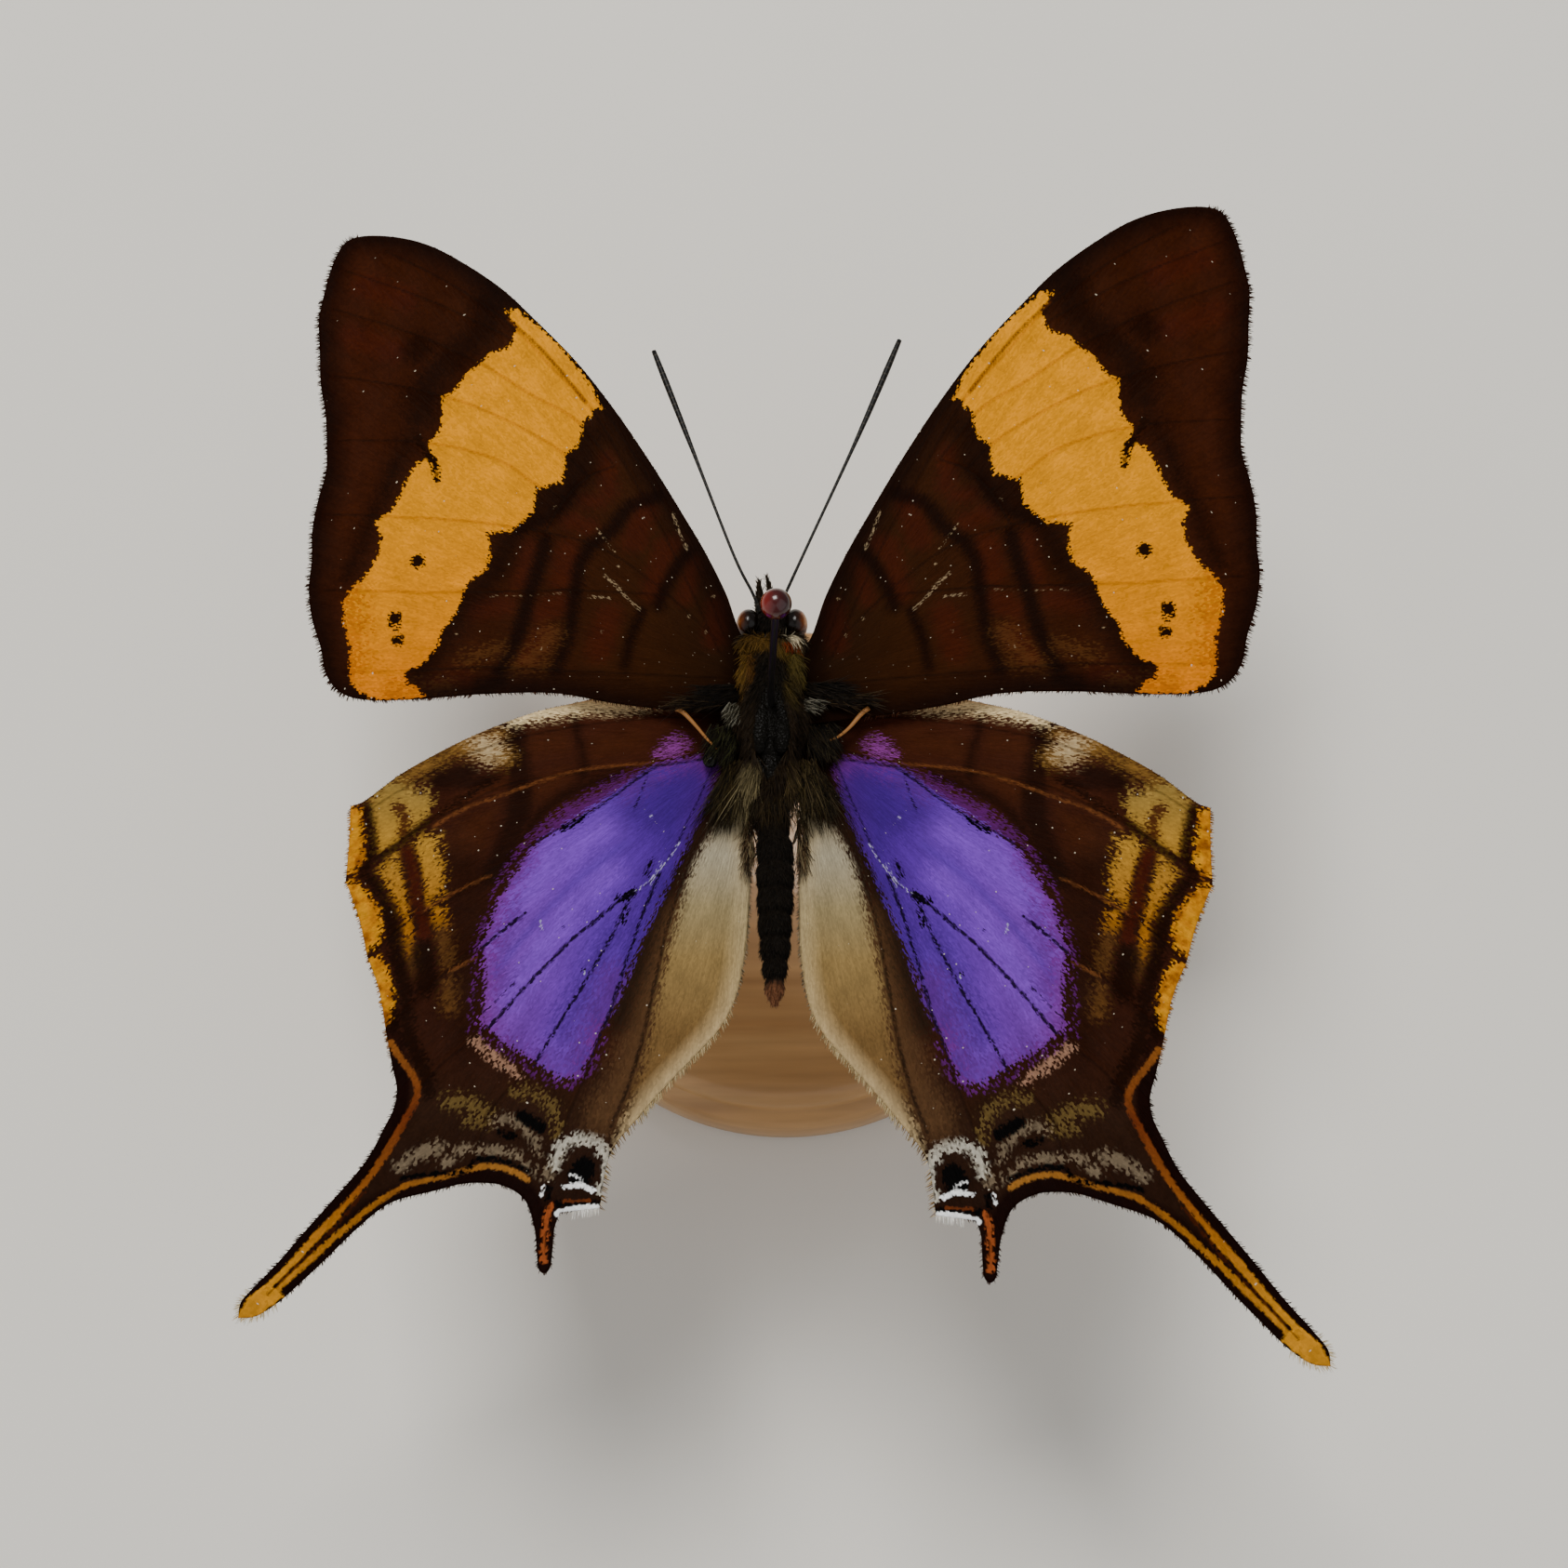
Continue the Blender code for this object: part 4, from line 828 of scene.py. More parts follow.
def hindwing_scales():
    """Chitin scales, brown, violet and gold: matt with a faint silky gloss."""
    material, tree = new_material("hindwing_brown_violet_scales")
    grain, shade, height, flow = scale_rows(tree)
    aft = along_places(tree, "Y", 0.0, 24.0)
    colour = add(tree, "ValToRGB", {"ramp": [
        (0.0, "#391a0e"), (0.18, "#30150b"), (0.4, "#2b1209"), (0.66, "#2c140a"),
        (0.76, "#27150b"), (1.0, "#1c0d06")]}, {"Fac": aft}).outputs[0]
    colour = lay_all(tree, colour, HIND_LAYERS["browns"], grain)
    gold = add(tree, "ValToRGB", {"ramp": [(0.0, "#8c7238"), (0.4, "#a87c2c"), (1.0, "#9c6218")]},
               {"Fac": along_places(tree, "Y", 3.0, 10.0)}).outputs[0]
    colour = lay(tree, colour, gold, "gold", grain, 0.26, 0.7, 0.92)
    colour = lay_all(tree, colour, HIND_LAYERS["bars"], grain)
    colour = line_over(tree, colour, "#120602", "vein", 0.02, 0.09, 0.5)
    colour = lay_all(tree, colour, HIND_LAYERS["arcs"], grain)
    patches = add(tree, "TexNoise", {"Scale": 1500.0, "Detail": 4.0},
                  {"Vector": add(tree, "TexCoord").outputs["Object"]})
    amber = add(tree, "ValToRGB", {"ramp": [
        (0.40, "#c48412"), (0.52, "#b5730f"), (0.66, "#824a12")]},
                {"Fac": patches.outputs["Fac"]}).outputs[0]
    colour = lay(tree, colour, amber, "margin", grain, 0.12, 0.4)
    tail = along_places(tree, "Y", 14.0, 16.0)
    outer = along_places(tree, "X", 8.8, 9.2)
    edge = add(tree, "Attribute", {"attribute_name": "rim"}).outputs["Fac"]
    # A black border along the tails only
    band = add(tree, "MapRange", {"From Min": 0.50, "From Max": 0.80, "To Min": 0.95,
                                  "To Max": 0.0}, {"Value": edge})
    cover = add(tree, "Math", {"operation": "MULTIPLY"}, {0: band.outputs[0], 1: tail})
    cover = add(tree, "Math", {"operation": "MULTIPLY"}, {0: cover.outputs[0], 1: outer})
    colour = add(tree, "Mix", {"data_type": "RGBA", 7: linear("#120402")},
                 {0: cover.outputs[0], 6: colour}).outputs[2]
    tail_orange = add(tree, "ValToRGB", {"ramp": [
        (0.0, "#7c481c"), (0.3, "#5c2810"), (0.6, "#804818"), (1.0, "#b87c1a")]},
                      {"Fac": along_places(tree, "Y", 15.0, 26.5)}).outputs[0]
    low_orange = add(tree, "ValToRGB", {"ramp": [
        (0.0, "#8a5a24"), (0.45, "#7c4a1a"), (1.0, "#ac721a")]},
                     {"Fac": along_places(tree, "X", 11.0, 22.0)}).outputs[0]
    colour = lay(tree, colour, low_orange, "tail_low", grain, 0.06, 0.10)
    colour = lay(tree, colour, tail_orange, "tail_line", grain, 0.06, 0.10)
    colour = lay_all(tree, colour, HIND_LAYERS["spots"], grain)
    # Darker close to the wing root
    reach = add(tree, "SeparateXYZ", {}, {"Vector": flow})
    root = add(tree, "MapRange", {"From Min": 1.2, "From Max": 3.2, "To Min": 0.9, "To Max": 0.0},
               {"Value": reach.outputs["X"]})
    colour = add(tree, "Mix", {"data_type": "RGBA", 7: linear("#090604")},
                 {0: root.outputs[0], 6: colour}).outputs[2]
    violet = add(tree, "ValToRGB", {"ramp": [
        (0.0, "#4c1a6a"), (0.2, "#492187"), (0.5, "#5a2f9a"), (0.85, "#6c369c"), (1.0, "#703082")]},
        {"Fac": along_places(tree, "X", 2.6, 13.0)}).outputs[0]
    violet = lay_all(tree, violet, HIND_LAYERS["violet"], grain)
    colour = lay_all(tree, colour, HIND_LAYERS["dusts"], grain)
    colour = lay(tree, colour, violet, "violet", grain, 0.06, 0.40)
    pale = add(tree, "ValToRGB", {"ramp": [
        (0.20, "#8d8168"), (0.28, "#a0967e"), (0.38, "#8c7c58"), (0.48, "#856d42"),
        (0.62, "#6c522e"), (0.85, "#4d351d")]}, {"Fac": aft}).outputs[0]
    lit = add(tree, "MapRange", {"From Min": 0.9, "From Max": 0.1, "To Max": 0.42},
              {"Value": edge})
    pale = add(tree, "Mix", {"data_type": "RGBA", 7: linear("#dcc393")},
               {0: lit.outputs[0], 6: pale})
    colour = lay(tree, colour, pale.outputs[2], "fold", grain, 0.30, 0.5)
    colour = lay(tree, colour, "#1d1008", "fold_line", grain, 0.06, 0.1, 0.85)
    return finish_wing(material, colour, shade, height, flow)


def wing_underside(name, ground, line_colour):
    """Chitin scales of the underside: a dead leaf's pale reddish tan."""
    material, tree = new_material(name)
    grain, shade, height, flow = scale_rows(tree)
    colour = add(tree, "ValToRGB", {"ramp": ground},
                 {"Fac": along_places(tree, "X", 0.0, 22.0)}).outputs[0]
    colour = line_over(tree, colour, "#7a5232", "vein", 0.03, 0.14, 0.6)
    colour = lay_all(tree, colour, [
        (line_colour, "bars", 0.25, 0.3, 0.5), (line_colour, "under_line", 0.10, 0.2, 0.8),
        ("#2c1c12", "under_spots", 0.12, 0.2, 0.8)], grain)
    return finish_wing(material, colour, shade, height, flow)


def make_wings(props, name, veins, marks, materials):
    """Left and right wings of one kind from one marked sheet."""
    outline, height, hinge, sweep = WINGS[name]
    mesh, near_vein = wing_sheet(name, outline, veins, marks, height, props.mesh_step)
    flat = read_places(mesh)
    for side, letter in SIDES:
        own = mesh.copy()
        points = place_on_wing(flat, wing_matrix(side, hinge, sweep), side)
        own.vertices.foreach_set("co", points.astype("f").ravel())
        if side < 0:
            own.flip_normals()
        own.update()
        wing = link_object(name + "_scaled_" + letter, own)
        group = wing.vertex_groups.new(name="veins")
        for vert in np.nonzero(near_vein < VEIN_HALF_WIDTH)[0]:
            group.add([int(vert)], 1.0 - float(near_vein[vert]) / VEIN_HALF_WIDTH, "REPLACE")
        solid = wing.modifiers.new("thickness", "SOLIDIFY")
        solid.thickness = props.vein_thickness
        solid.offset = 0.0
        solid.vertex_group = "veins"
        solid.thickness_vertex_group = props.wing_thickness / props.vein_thickness
        solid.material_offset = 1
        finish_piece(wing, [name + "_" + letter], materials)
    bpy.data.meshes.remove(mesh)


# Limbs, hair and body

def curve_path(points, steps):
    """A Catmull-Rom path through points in millimetres."""
    spots = [Vector(point) for point in points]
    path = []
    for i in range(len(spots) - 1):
        p0, p1 = spots[max(i - 1, 0)], spots[i]
        p2, p3 = spots[i + 1], spots[min(i + 2, len(spots) - 1)]
        for t in (k / steps for k in range(steps)):
            path.append(0.5 * (2 * p1 + (p2 - p0) * t + (2 * p0 - 5 * p1 + 4 * p2 - p3) * t * t
                               + (3 * p1 - p0 - 3 * p2 + p3) * t ** 3))
    return path + [spots[-1]]


def ring(bm, matrix, sides):
    """One edge loop of a lofted shape."""
    made = bmesh.ops.create_circle(bm, segments=sides, radius=1.0, matrix=matrix)["verts"]
    return list({edge for vert in made for edge in vert.link_edges})


def close_loft(bm, loops):
    """Bridge a row of edge loops and close both ends."""
    bmesh.ops.contextual_create(bm, geom=loops[0])
    bmesh.ops.contextual_create(bm, geom=loops[-1])
    for loop, following in zip(loops, loops[1:]):
        bmesh.ops.bridge_loops(bm, edges=loop + following)


def limb(bm, points, radii, sides=10, steps=6, flat=1.0):
    """A tapering limb along a smooth path, with its length kept in the layer "along"."""
    along = bm.verts.layers.float.get("along") or bm.verts.layers.float.new("along")
    path = curve_path(points, steps)
    upright = abs((path[1] - path[0]).normalized().z) > 0.95
    across = Vector((1, 0, 0)) if upright else Vector((0, 0, 1))
    travelled = 0.0
    loops = []
    for i, spot in enumerate(path):
        ahead = path[min(i + 1, len(path) - 1)] - path[max(i - 1, 0)]
        ahead.normalize()
        across = (across - ahead * across.dot(ahead)).normalized()
        place = i / (len(path) - 1) * (len(radii) - 1)
        low = min(int(place), len(radii) - 2)
        radius = radii[low] + (radii[low + 1] - radii[low]) * (place - low)
        turned = Matrix((ahead.cross(across), across, ahead)).transposed().to_4x4()
        travelled += (spot - path[i - 1]).length if i else 0.0
        loops.append(ring(bm, Matrix.Translation(spot) @ turned
                          @ Matrix.Diagonal((radius, radius * flat, 1, 1)), sides))
        for vert in {vert for edge in loops[-1] for vert in edge.verts}:
            vert[along] = travelled
    close_loft(bm, loops)


def set_in_place(bm):
    """Turn millimetres about the wing roots into the model's metres, faces outwards."""
    bmesh.ops.recalc_face_normals(bm, faces=bm.faces)
    bmesh.ops.transform(bm, verts=bm.verts,
                        matrix=Matrix.Scale(MM, 4) @ Matrix.Translation((0, 0, WING_Z)))


def limb_piece(name, replaced, slot, material, points, radii, **shape):
    """One tapering limb as a finished piece."""
    bm = bmesh.new()
    limb(bm, points, radii, **shape)
    set_in_place(bm)
    return finish_piece(new_object(name, bm), replaced, [material])


# One hair: rings of three points along it and a tip, its taper, the third turns of a
# ring and a full turn, in radians, and the side of its patch of the bake map
HAIR_RINGS = (0.0, 0.5, 0.82)
HAIR_POINTS = 10
HAIR_TAPER = 0.75
THIRD_TURNS, FULL_TURN = (0.0, 2.094, 4.189), 6.283
HAIR_PATCH = 0.003


def hair_mesh(name, roots, directions, lengths, widths, sag, tints, unwrap, material):
    """Tapered three-sided hairs joined in one mesh, each a small patch of the bake map."""
    directions = directions / np.linalg.norm(directions, axis=1)[:, None]
    upright = np.abs(directions[:, 2:]) > 0.9
    side = np.cross(directions, np.where(upright, (1.0, 0.0, 0.0), (0.0, 0.0, 1.0)))
    side /= np.linalg.norm(side, axis=1)[:, None]
    across = np.cross(directions, side)
    verts, patches = [], []
    for place in HAIR_RINGS:
        centre = (roots + directions * (lengths * place)[:, None]
                  + sag * (lengths * place ** 2)[:, None])
        radius = (widths / 2 * (1 - HAIR_TAPER * place ** 2))[:, None]
        for turn in THIRD_TURNS:
            verts.append(centre + radius * (math.cos(turn) * side + math.sin(turn) * across))
            patches.append(unwrap + HAIR_PATCH * np.array([place, turn / FULL_TURN]))
    verts.append(roots + directions * lengths[:, None] + sag * lengths[:, None])
    patches.append(unwrap + HAIR_PATCH)
    verts, patches = np.stack(verts, 1), np.stack(patches, 1)
    quads = [(r + c, r + (c + 1) % 3, r + 3 + (c + 1) % 3, r + 3 + c)
             for r in (0, 3) for c in range(3)]
    ends = [(6, 7, 9), (7, 8, 9), (8, 6, 9), (2, 1, 0)]
    first = np.arange(len(roots))[:, None, None] * HAIR_POINTS
    quads = (np.array(quads)[None] + first).reshape(-1, 4)
    ends = (np.array(ends)[None] + first).reshape(-1, 3)
    corners = np.concatenate([quads.ravel(), ends.ravel()])
    starts = np.concatenate([np.arange(len(quads)) * 4, quads.size + np.arange(len(ends)) * 3])
    mesh = bpy.data.meshes.new(name)
    mesh.vertices.add(verts.shape[0] * HAIR_POINTS)
    mesh.vertices.foreach_set("co", verts.astype("f").ravel())
    mesh.loops.add(len(corners))
    mesh.loops.foreach_set("vertex_index", corners.astype("i"))
    mesh.polygons.add(len(starts))
    mesh.polygons.foreach_set("loop_start", starts.astype("i"))
    mesh.update(calc_edges=True)
    mesh.validate()
    bake = mesh.uv_layers.new(name="OFBake")
    bake.data.foreach_set("uv", patches.reshape(-1, 2)[corners].astype("f").ravel())
    colours = np.concatenate([tints, np.ones((len(tints), 1))], 1)
    colours = np.repeat(colours, HAIR_POINTS, axis=0)
    write_values(mesh, "tint", "FLOAT_COLOR", colours)
    return finish_piece(link_object(name, mesh), [], [material])


def hair_material(name):
    """Chitin hair: fine, soft and a little shiny along its length."""
    material, tree = new_material(name)
    tint = add(tree, "Attribute", {"attribute_name": "tint"})
    return finish_material(material, {"Base Color": tint.outputs["Color"]},
                           {"Roughness": 0.55, "Specular IOR Level": 0.12})


# Cross-sections of the body from head to tail: tailward place, half width, top and
# underside, in millimetres from the wing roots
BODY_SECTIONS = [
    (-4.74, 0.24, 0.12, -0.50), (-4.62, 0.52, 0.46, -0.76), (-4.30, 0.78, 0.68, -0.92),
    (-4.00, 0.82, 0.72, -0.96), (-3.72, 0.70, 0.60, -0.84), (-3.50, 0.50, 0.40, -0.66),
    (-3.30, 0.52, 0.42, -0.72), (-3.05, 0.82, 0.76, -1.05), (-2.60, 1.10, 1.06, -1.55),
    (-1.70, 1.30, 1.42, -2.02), (-0.60, 1.38, 1.66, -2.30), (0.50, 1.42, 1.76, -2.40),
    (1.60, 1.38, 1.68, -2.36), (2.60, 1.24, 1.40, -2.20), (3.40, 1.00, 0.98, -1.88),
    (4.05, 0.72, 0.52, -1.48), (4.50, 0.48, 0.14, -1.14),
]
ABDOMEN_STARTS = [4.95, 6.05, 7.20, 8.35, 9.45, 10.50, 11.45, 12.30, 13.05]
ABDOMEN_WIDTHS = [0.66, 0.76, 0.78, 0.75, 0.69, 0.61, 0.50, 0.38]
BODY_LEAN = 0.20
SHIELD = [(0.25, -0.7), (0.50, 0.0), (0.80, 0.9), (1.00, 1.9), (0.86, 2.7), (0.62, 3.3),
          (0.36, 3.9), (0.10, 3.7), (-0.20, 3.1), (-0.56, 2.6), (-0.72, 1.9), (-0.52, 0.9),
          (-0.20, 0.0), (0.0, -0.6)]
EYE_CENTRE = (1.06, -4.02, 0.02)
EYE_RADII = (0.56, 0.70, 0.78)
# Swellings of the body on both sides of its middle line: middle and radii
BODY_LUMPS = [
    ((0.48, -2.72, 0.90), (0.46, 0.30, 0.26)), ((0.98, -2.85, 0.45), (0.55, 0.50, 0.45)),
    ((1.06, -1.2, 1.06), (0.34, 0.98, 0.34)), ((0.50, 1.0, 1.34), (0.62, 1.8, 0.50)),
    ((1.20, 0.6, 0.3), (0.46, 1.1, 0.8)), ((0.30, -4.55, 0.22), (0.24, 0.20, 0.34)),
    ((0.52, 3.2, 0.78), (0.45, 0.7, 0.36)), ((0.0, 3.2, 0.95), (0.5, 0.8, 0.35)),
]
PALPS = [
    [(0.34, -4.45, -0.45), (0.52, -5.06, -0.40), (0.58, -5.6, -0.18), (0.60, -6.25, 0.20)],
    [(-0.20, -4.45, -0.45), (-0.10, -5.06, -0.40), (0.06, -5.6, -0.18), (0.26, -6.35, 0.24)],
]
PALP_RADII = [0.22, 0.24, 0.20, 0.13, 0.03]
# Colours of skin and hair: a middle, a reach and a colour, later ones over earlier
BODY_GROUND = "#241a0e"
BODY_ZONES = [
    ((0.0, 9.6, -0.6), (2.0, 5.0, 2.5), "#120d07"),
    ((0.0, 13.3, -0.7), (0.9, 0.7, 0.9), "#6c452d"),
    ((0.2, -4.2, 0.2), (1.4, 0.9, 1.4), "#17110b"),
    ((0.2, -0.6, 1.7), (0.8, 2.0, 0.8), "#130e07"),
    ((0.80, -2.75, 0.8), (0.95, 0.45, 0.7), "#523a14"),
    ((-0.55, -2.3, 0.9), (0.8, 0.55, 0.6), "#4a3814"),
    ((1.50, -1.5, 0.8), (0.42, 1.3, 0.9), "#5c4216"),
    ((1.05, -1.6, 1.4), (0.22, 1.0, 0.5), "#4a3010"),
    ((-1.00, -1.6, 1.2), (0.45, 0.9, 0.7), "#463a16"),
    ((-0.75, -0.4, 1.6), (0.4, 0.9, 0.5), "#362b10"),
    ((-0.74, -2.95, 0.6), (0.34, 0.22, 0.6), "#c8ba9a"),
    ((-0.66, -2.60, 0.9), (0.42, 0.13, 0.5), "#6a2c10"),
    ((0.50, -3.30, 0.6), (0.12, 0.12, 0.3), "#e2ddd2"),
    ((0.95, 3.7, 0.5), (0.45, 1.0, 0.8), "#6f6344"),
    ((-0.9, 3.5, 0.5), (0.5, 0.9, 0.8), "#5c4c2e"),
    ((0.2, 4.3, 0.4), (0.7, 0.5, 0.8), "#2a2012"),
]


def lean(y):
    """How far the body's middle line bends sideways at a tailward place."""
    return BODY_LEAN * np.clip((7.0 - y) / 3.0, 0, 1)


def body_colour(at):
    """Linear colours of skin and hair at places on the body, in millimetres."""
    colours = np.tile(linear(BODY_GROUND)[:3], (len(at), 1))
    for middle, reach, colour in BODY_ZONES:
        gap = np.linalg.norm((at - middle) / reach, axis=1)
        weight = np.clip((1.25 - gap) / 0.5, 0, 1)[:, None]
        colours = colours * (1 - weight) + np.array(linear(colour)[:3]) * weight
    return colours


def body_skin(voxel):
    """Head, thorax, abdomen and palps as one closed skin, in metres."""
    sections = list(BODY_SECTIONS)
    # Each ring of the abdomen narrows at both ends
    for start, end, half in zip(ABDOMEN_STARTS, ABDOMEN_STARTS[1:], ABDOMEN_WIDTHS):
        middle, depth = -0.42 - 0.035 * (start - 5), half * 1.16
        for place, swell in ((0.0, 0.86), (0.25, 0.98), (0.6, 1.0), (0.92, 0.95)):
            sections.append((start + place * (end - start), half * swell,
                             middle + depth * swell, middle - depth * swell))
    sections += [(13.15, 0.27, -0.42, -1.02), (13.46, 0.12, -0.60, -0.86)]
    bm = bmesh.new()
    loops = []
    for y, half, top, bottom in sections:
        loops.append(ring(bm, Matrix.Translation((0, y, (top + bottom) / 2))
                          @ Matrix.Rotation(math.pi / 2, 4, "X")
                          @ Matrix.Diagonal((half, (top - bottom) / 2, 1, 1)), 32))
    close_loft(bm, loops)
    for side in (1, -1):
        for centre, radii in BODY_LUMPS:
            bmesh.ops.create_uvsphere(
                bm, u_segments=20, v_segments=12, radius=1.0,
                matrix=Matrix.Translation((side * centre[0], centre[1], centre[2]))
                @ Matrix.Diagonal((*radii, 1)))
    for palp in PALPS:
        limb(bm, palp, PALP_RADII, flat=1.25)
    bmesh.ops.recalc_face_normals(bm, faces=bm.faces)
    rough = new_object("body_rough", bm)
    remesh = rough.modifiers.new("one_skin", "REMESH")
    remesh.mode = "VOXEL"
    remesh.voxel_size = voxel
    bpy.context.view_layer.update()
    evaluated = rough.evaluated_get(bpy.context.evaluated_depsgraph_get())
    skin = bpy.data.meshes.new_from_object(evaluated)
    bpy.data.objects.remove(rough, do_unlink=True)
    bm = bmesh.new()
    bm.from_mesh(skin)
    bpy.data.meshes.remove(skin)
    for _ in range(5):
        bmesh.ops.smooth_vert(bm, verts=bm.verts, factor=0.5, use_axis_x=True, use_axis_y=True,
                              use_axis_z=True)
    for vert in bm.verts:
        vert.co.x += lean(vert.co.y)
    set_in_place(bm)
    return bm


def body_cuticle():
    """Sclerotised cuticle under dark scales: black-brown, with a polished shield on the thorax."""
    material, tree = new_material("black_brown_cuticle")
    place = add(tree, "TexCoord").outputs["Object"]
    tint = add(tree, "Attribute", {"attribute_name": "tint"}).outputs["Color"]
    mottle = add(tree, "TexNoise", {"Scale": 1400.0, "Detail": 5.0}, {"Vector": place})
    tone = dusted(tree, tint, mottle.outputs["Fac"], 0.3, 1.5)
    shield = add(tree, "Attribute", {"attribute_name": "shield"}).outputs["Fac"]
    polish = add(tree, "MapRange", {"From Min": -0.12, "From Max": 0.06}, {"Value": shield})
    colour = add(tree, "Mix", {"data_type": "RGBA", 7: linear("#070502")},
                 {0: polish.outputs[0], 6: tone})
    gloss = add(tree, "MapRange", {"To Min": 0.7, "To Max": 0.32}, {"Value": polish.outputs[0]})
    grit = add(tree, "TexVoronoi", {"Scale": 9000.0}, {"Vector": place})
    dents = add(tree, "TexNoise", {"Scale": 3200.0, "Detail": 4.0}, {"Vector": place})
    relief = add(tree, "Math", {"operation": "MULTIPLY_ADD", 1: 3.0},
                 {0: dents.outputs["Fac"], 2: grit.outputs["Distance"]})
    bump = add(tree, "Bump", {"Strength": 1.0, "Distance": 0.04 * MM},
               {"Height": relief.outputs[0]})
    return finish_material(material, {
        "Base Color": colour.outputs[2], "Roughness": gloss.outputs[0],
        "Normal": bump.outputs["Normal"]}, {"Specular IOR Level": 0.07})


def eye_material():
    """Faceted cornea: nearly black and very glossy, amber towards its outer rim."""
    material, tree = new_material("faceted_cornea")
    place = add(tree, "TexCoord").outputs["Object"]
    rim = add(tree, "Attribute", {"attribute_name": "rim"}).outputs["Fac"]
    mottle = add(tree, "TexNoise", {"Scale": 2500.0, "Detail": 3.0}, {"Vector": place})
    amber = add(tree, "Math", {"operation": "MULTIPLY_ADD", 1: 0.5},
                {0: mottle.outputs["Fac"], 2: rim})
    tone = add(tree, "ValToRGB", {"ramp": [
        (0.20, "#0c0603"), (0.48, "#241006"), (0.74, "#5e2e10"), (1.0, "#a06a34")]},
        {"Fac": amber.outputs[0]})
    facets = add(tree, "TexVoronoi", {"Scale": 24000.0, "Randomness": 0.3}, {"Vector": place})
    bump = add(tree, "Bump", {"Strength": 0.3, "Distance": 0.01 * MM},
               {"Height": facets.outputs["Distance"]})
    return finish_material(
        material, {"Base Color": tone.outputs[0], "Normal": bump.outputs["Normal"]},
        {"Roughness": 0.18, "Specular IOR Level": 0.25})


def limb_cuticle(name, dark, pale, pitch, roughness=0.45):
    """Cuticle of a jointed limb: satin brown-black, paler at each joint."""
    material, tree = new_material(name)
    along = add(tree, "Attribute", {"attribute_name": "along"}).outputs["Fac"]
    phase = add(tree, "Math", {"operation": "PINGPONG", 1: pitch / 2}, {0: along})
    joint = add(tree, "MapRange", {"From Max": pitch * 0.12, "To Min": 0.7, "To Max": 0.0},
                {"Value": phase.outputs[0]})
    colour = add(tree, "Mix", {"data_type": "RGBA", 6: linear(dark), 7: linear(pale)},
                 {0: joint.outputs[0]})
    return finish_material(material, {"Base Color": colour.outputs[2]},
                           {"Roughness": roughness, "Specular IOR Level": 0.2})


# Hair on the body: tailward range, hairs before bare places, length, lift off the skin
HAIR_COATS = {
    "head_hair": (-7.0, -3.35, 3500, 0.30, 0.55),
    "thorax_hair": (-3.35, 4.75, 12000, 0.50, 0.30),
    "abdomen_hair": (4.75, 14.0, 7000, 0.26, 0.22),
}


def body_hair(skin, material):
    """Hairs on the skin, lying tailward, longer at the thorax's back end."""
    rng = np.random.default_rng(11)
    skin.calc_loop_triangles()
    corners = read_places(skin)
    tris = np.empty(len(skin.loop_triangles) * 3, "i")
    skin.loop_triangles.foreach_get("vertices", tris)
    a, b, c = (corners[tris.reshape(-1, 3)[:, k]] for k in range(3))
    normals = np.cross(b - a, c - a)
    areas = np.linalg.norm(normals, axis=1)
    tailward = ((a + b + c) / 3 / MM)[:, 1]
    for name, (start, end, count, length, lift) in HAIR_COATS.items():
        share = areas * ((tailward > start) & (tailward <= end))
        chosen = rng.choice(len(areas), count, p=share / share.sum())
        u, v = rng.random((2, count, 1))
        flip = u + v > 1
        u, v = np.where(flip, 1 - u, u), np.where(flip, 1 - v, v)
        roots = a[chosen] * (1 - u - v) + b[chosen] * u + c[chosen] * v
        normal = normals[chosen] / areas[chosen][:, None]
        at = roots / MM - (0, 0, WING_Z)
        bare = (field(at[:, :2], [(None, SHIELD)]) > 0.02) & (at[:, 2] > 0.5)
        roots, normal, at = roots[~bare], normal[~bare], at[~bare]
        x, y, z = at.T
        count = len(roots)
        size = length * rng.uniform(0.5, 1.3, count) * np.where((y > 2.4) & (y < 4.8), 2.1, 1.0)
        palp = y < -4.75
        way = np.stack([0.45 * np.sign(x) * np.clip(np.abs(x), 0, 1), np.where(palp, -1.0, 1.0),
                        np.where(palp, 0.5, -0.1)], 1)
        way -= normal * np.einsum("ij,ij->i", way, normal)[:, None]
        way += normal * np.where(palp, 0.12, lift)[:, None] + rng.normal(0, 0.2, (count, 3))
        tints = body_colour(at) * rng.uniform(0.45, 1.7, (count, 1))
        unwrap = np.stack([0.5 + np.arctan2(x, z + 0.4) / 6.4, (y + 7.0) / 21.5], 1)
        hair_mesh(name, roots, way, size * MM, rng.uniform(0.028, 0.05, count) * MM,
                  np.array([0.0, 0.12, -0.10]), tints, unwrap, material)


# Colours that the hairs of a tuft are picked from
TUFT_TINTS = {
    "grey": ["#8a8574", "#55503f", "#2a261c"],
    "dull grey": ["#7a7566", "#4a4638", "#25211a"],
    "mossy black": ["#0d0a06", "#1c170c", "#3c3c22"],
    "brownish black": ["#0d0a06", "#1a140c", "#332b1c"],
    "black": ["#0b0703", "#16100a", "#20180e"],
    "dark tan": ["#120b05", "#3a2c1a", "#1c120a"],
    "straw": ["#8a7c58", "#5c5034", "#3a2e18"],
    "olive": ["#3a3018", "#2a2010", "#151007"],
    "pale olive": ["#3a3018", "#2a2010", "#4c4028", "#151007"],
    "umber": ["#2a1f10", "#3c3220", "#151007"],
    "warm umber": ["#2a2012", "#3c2f1a", "#151007"],
    "tan": ["#1a120a", "#4a3420", "#7a6a4c"],
}
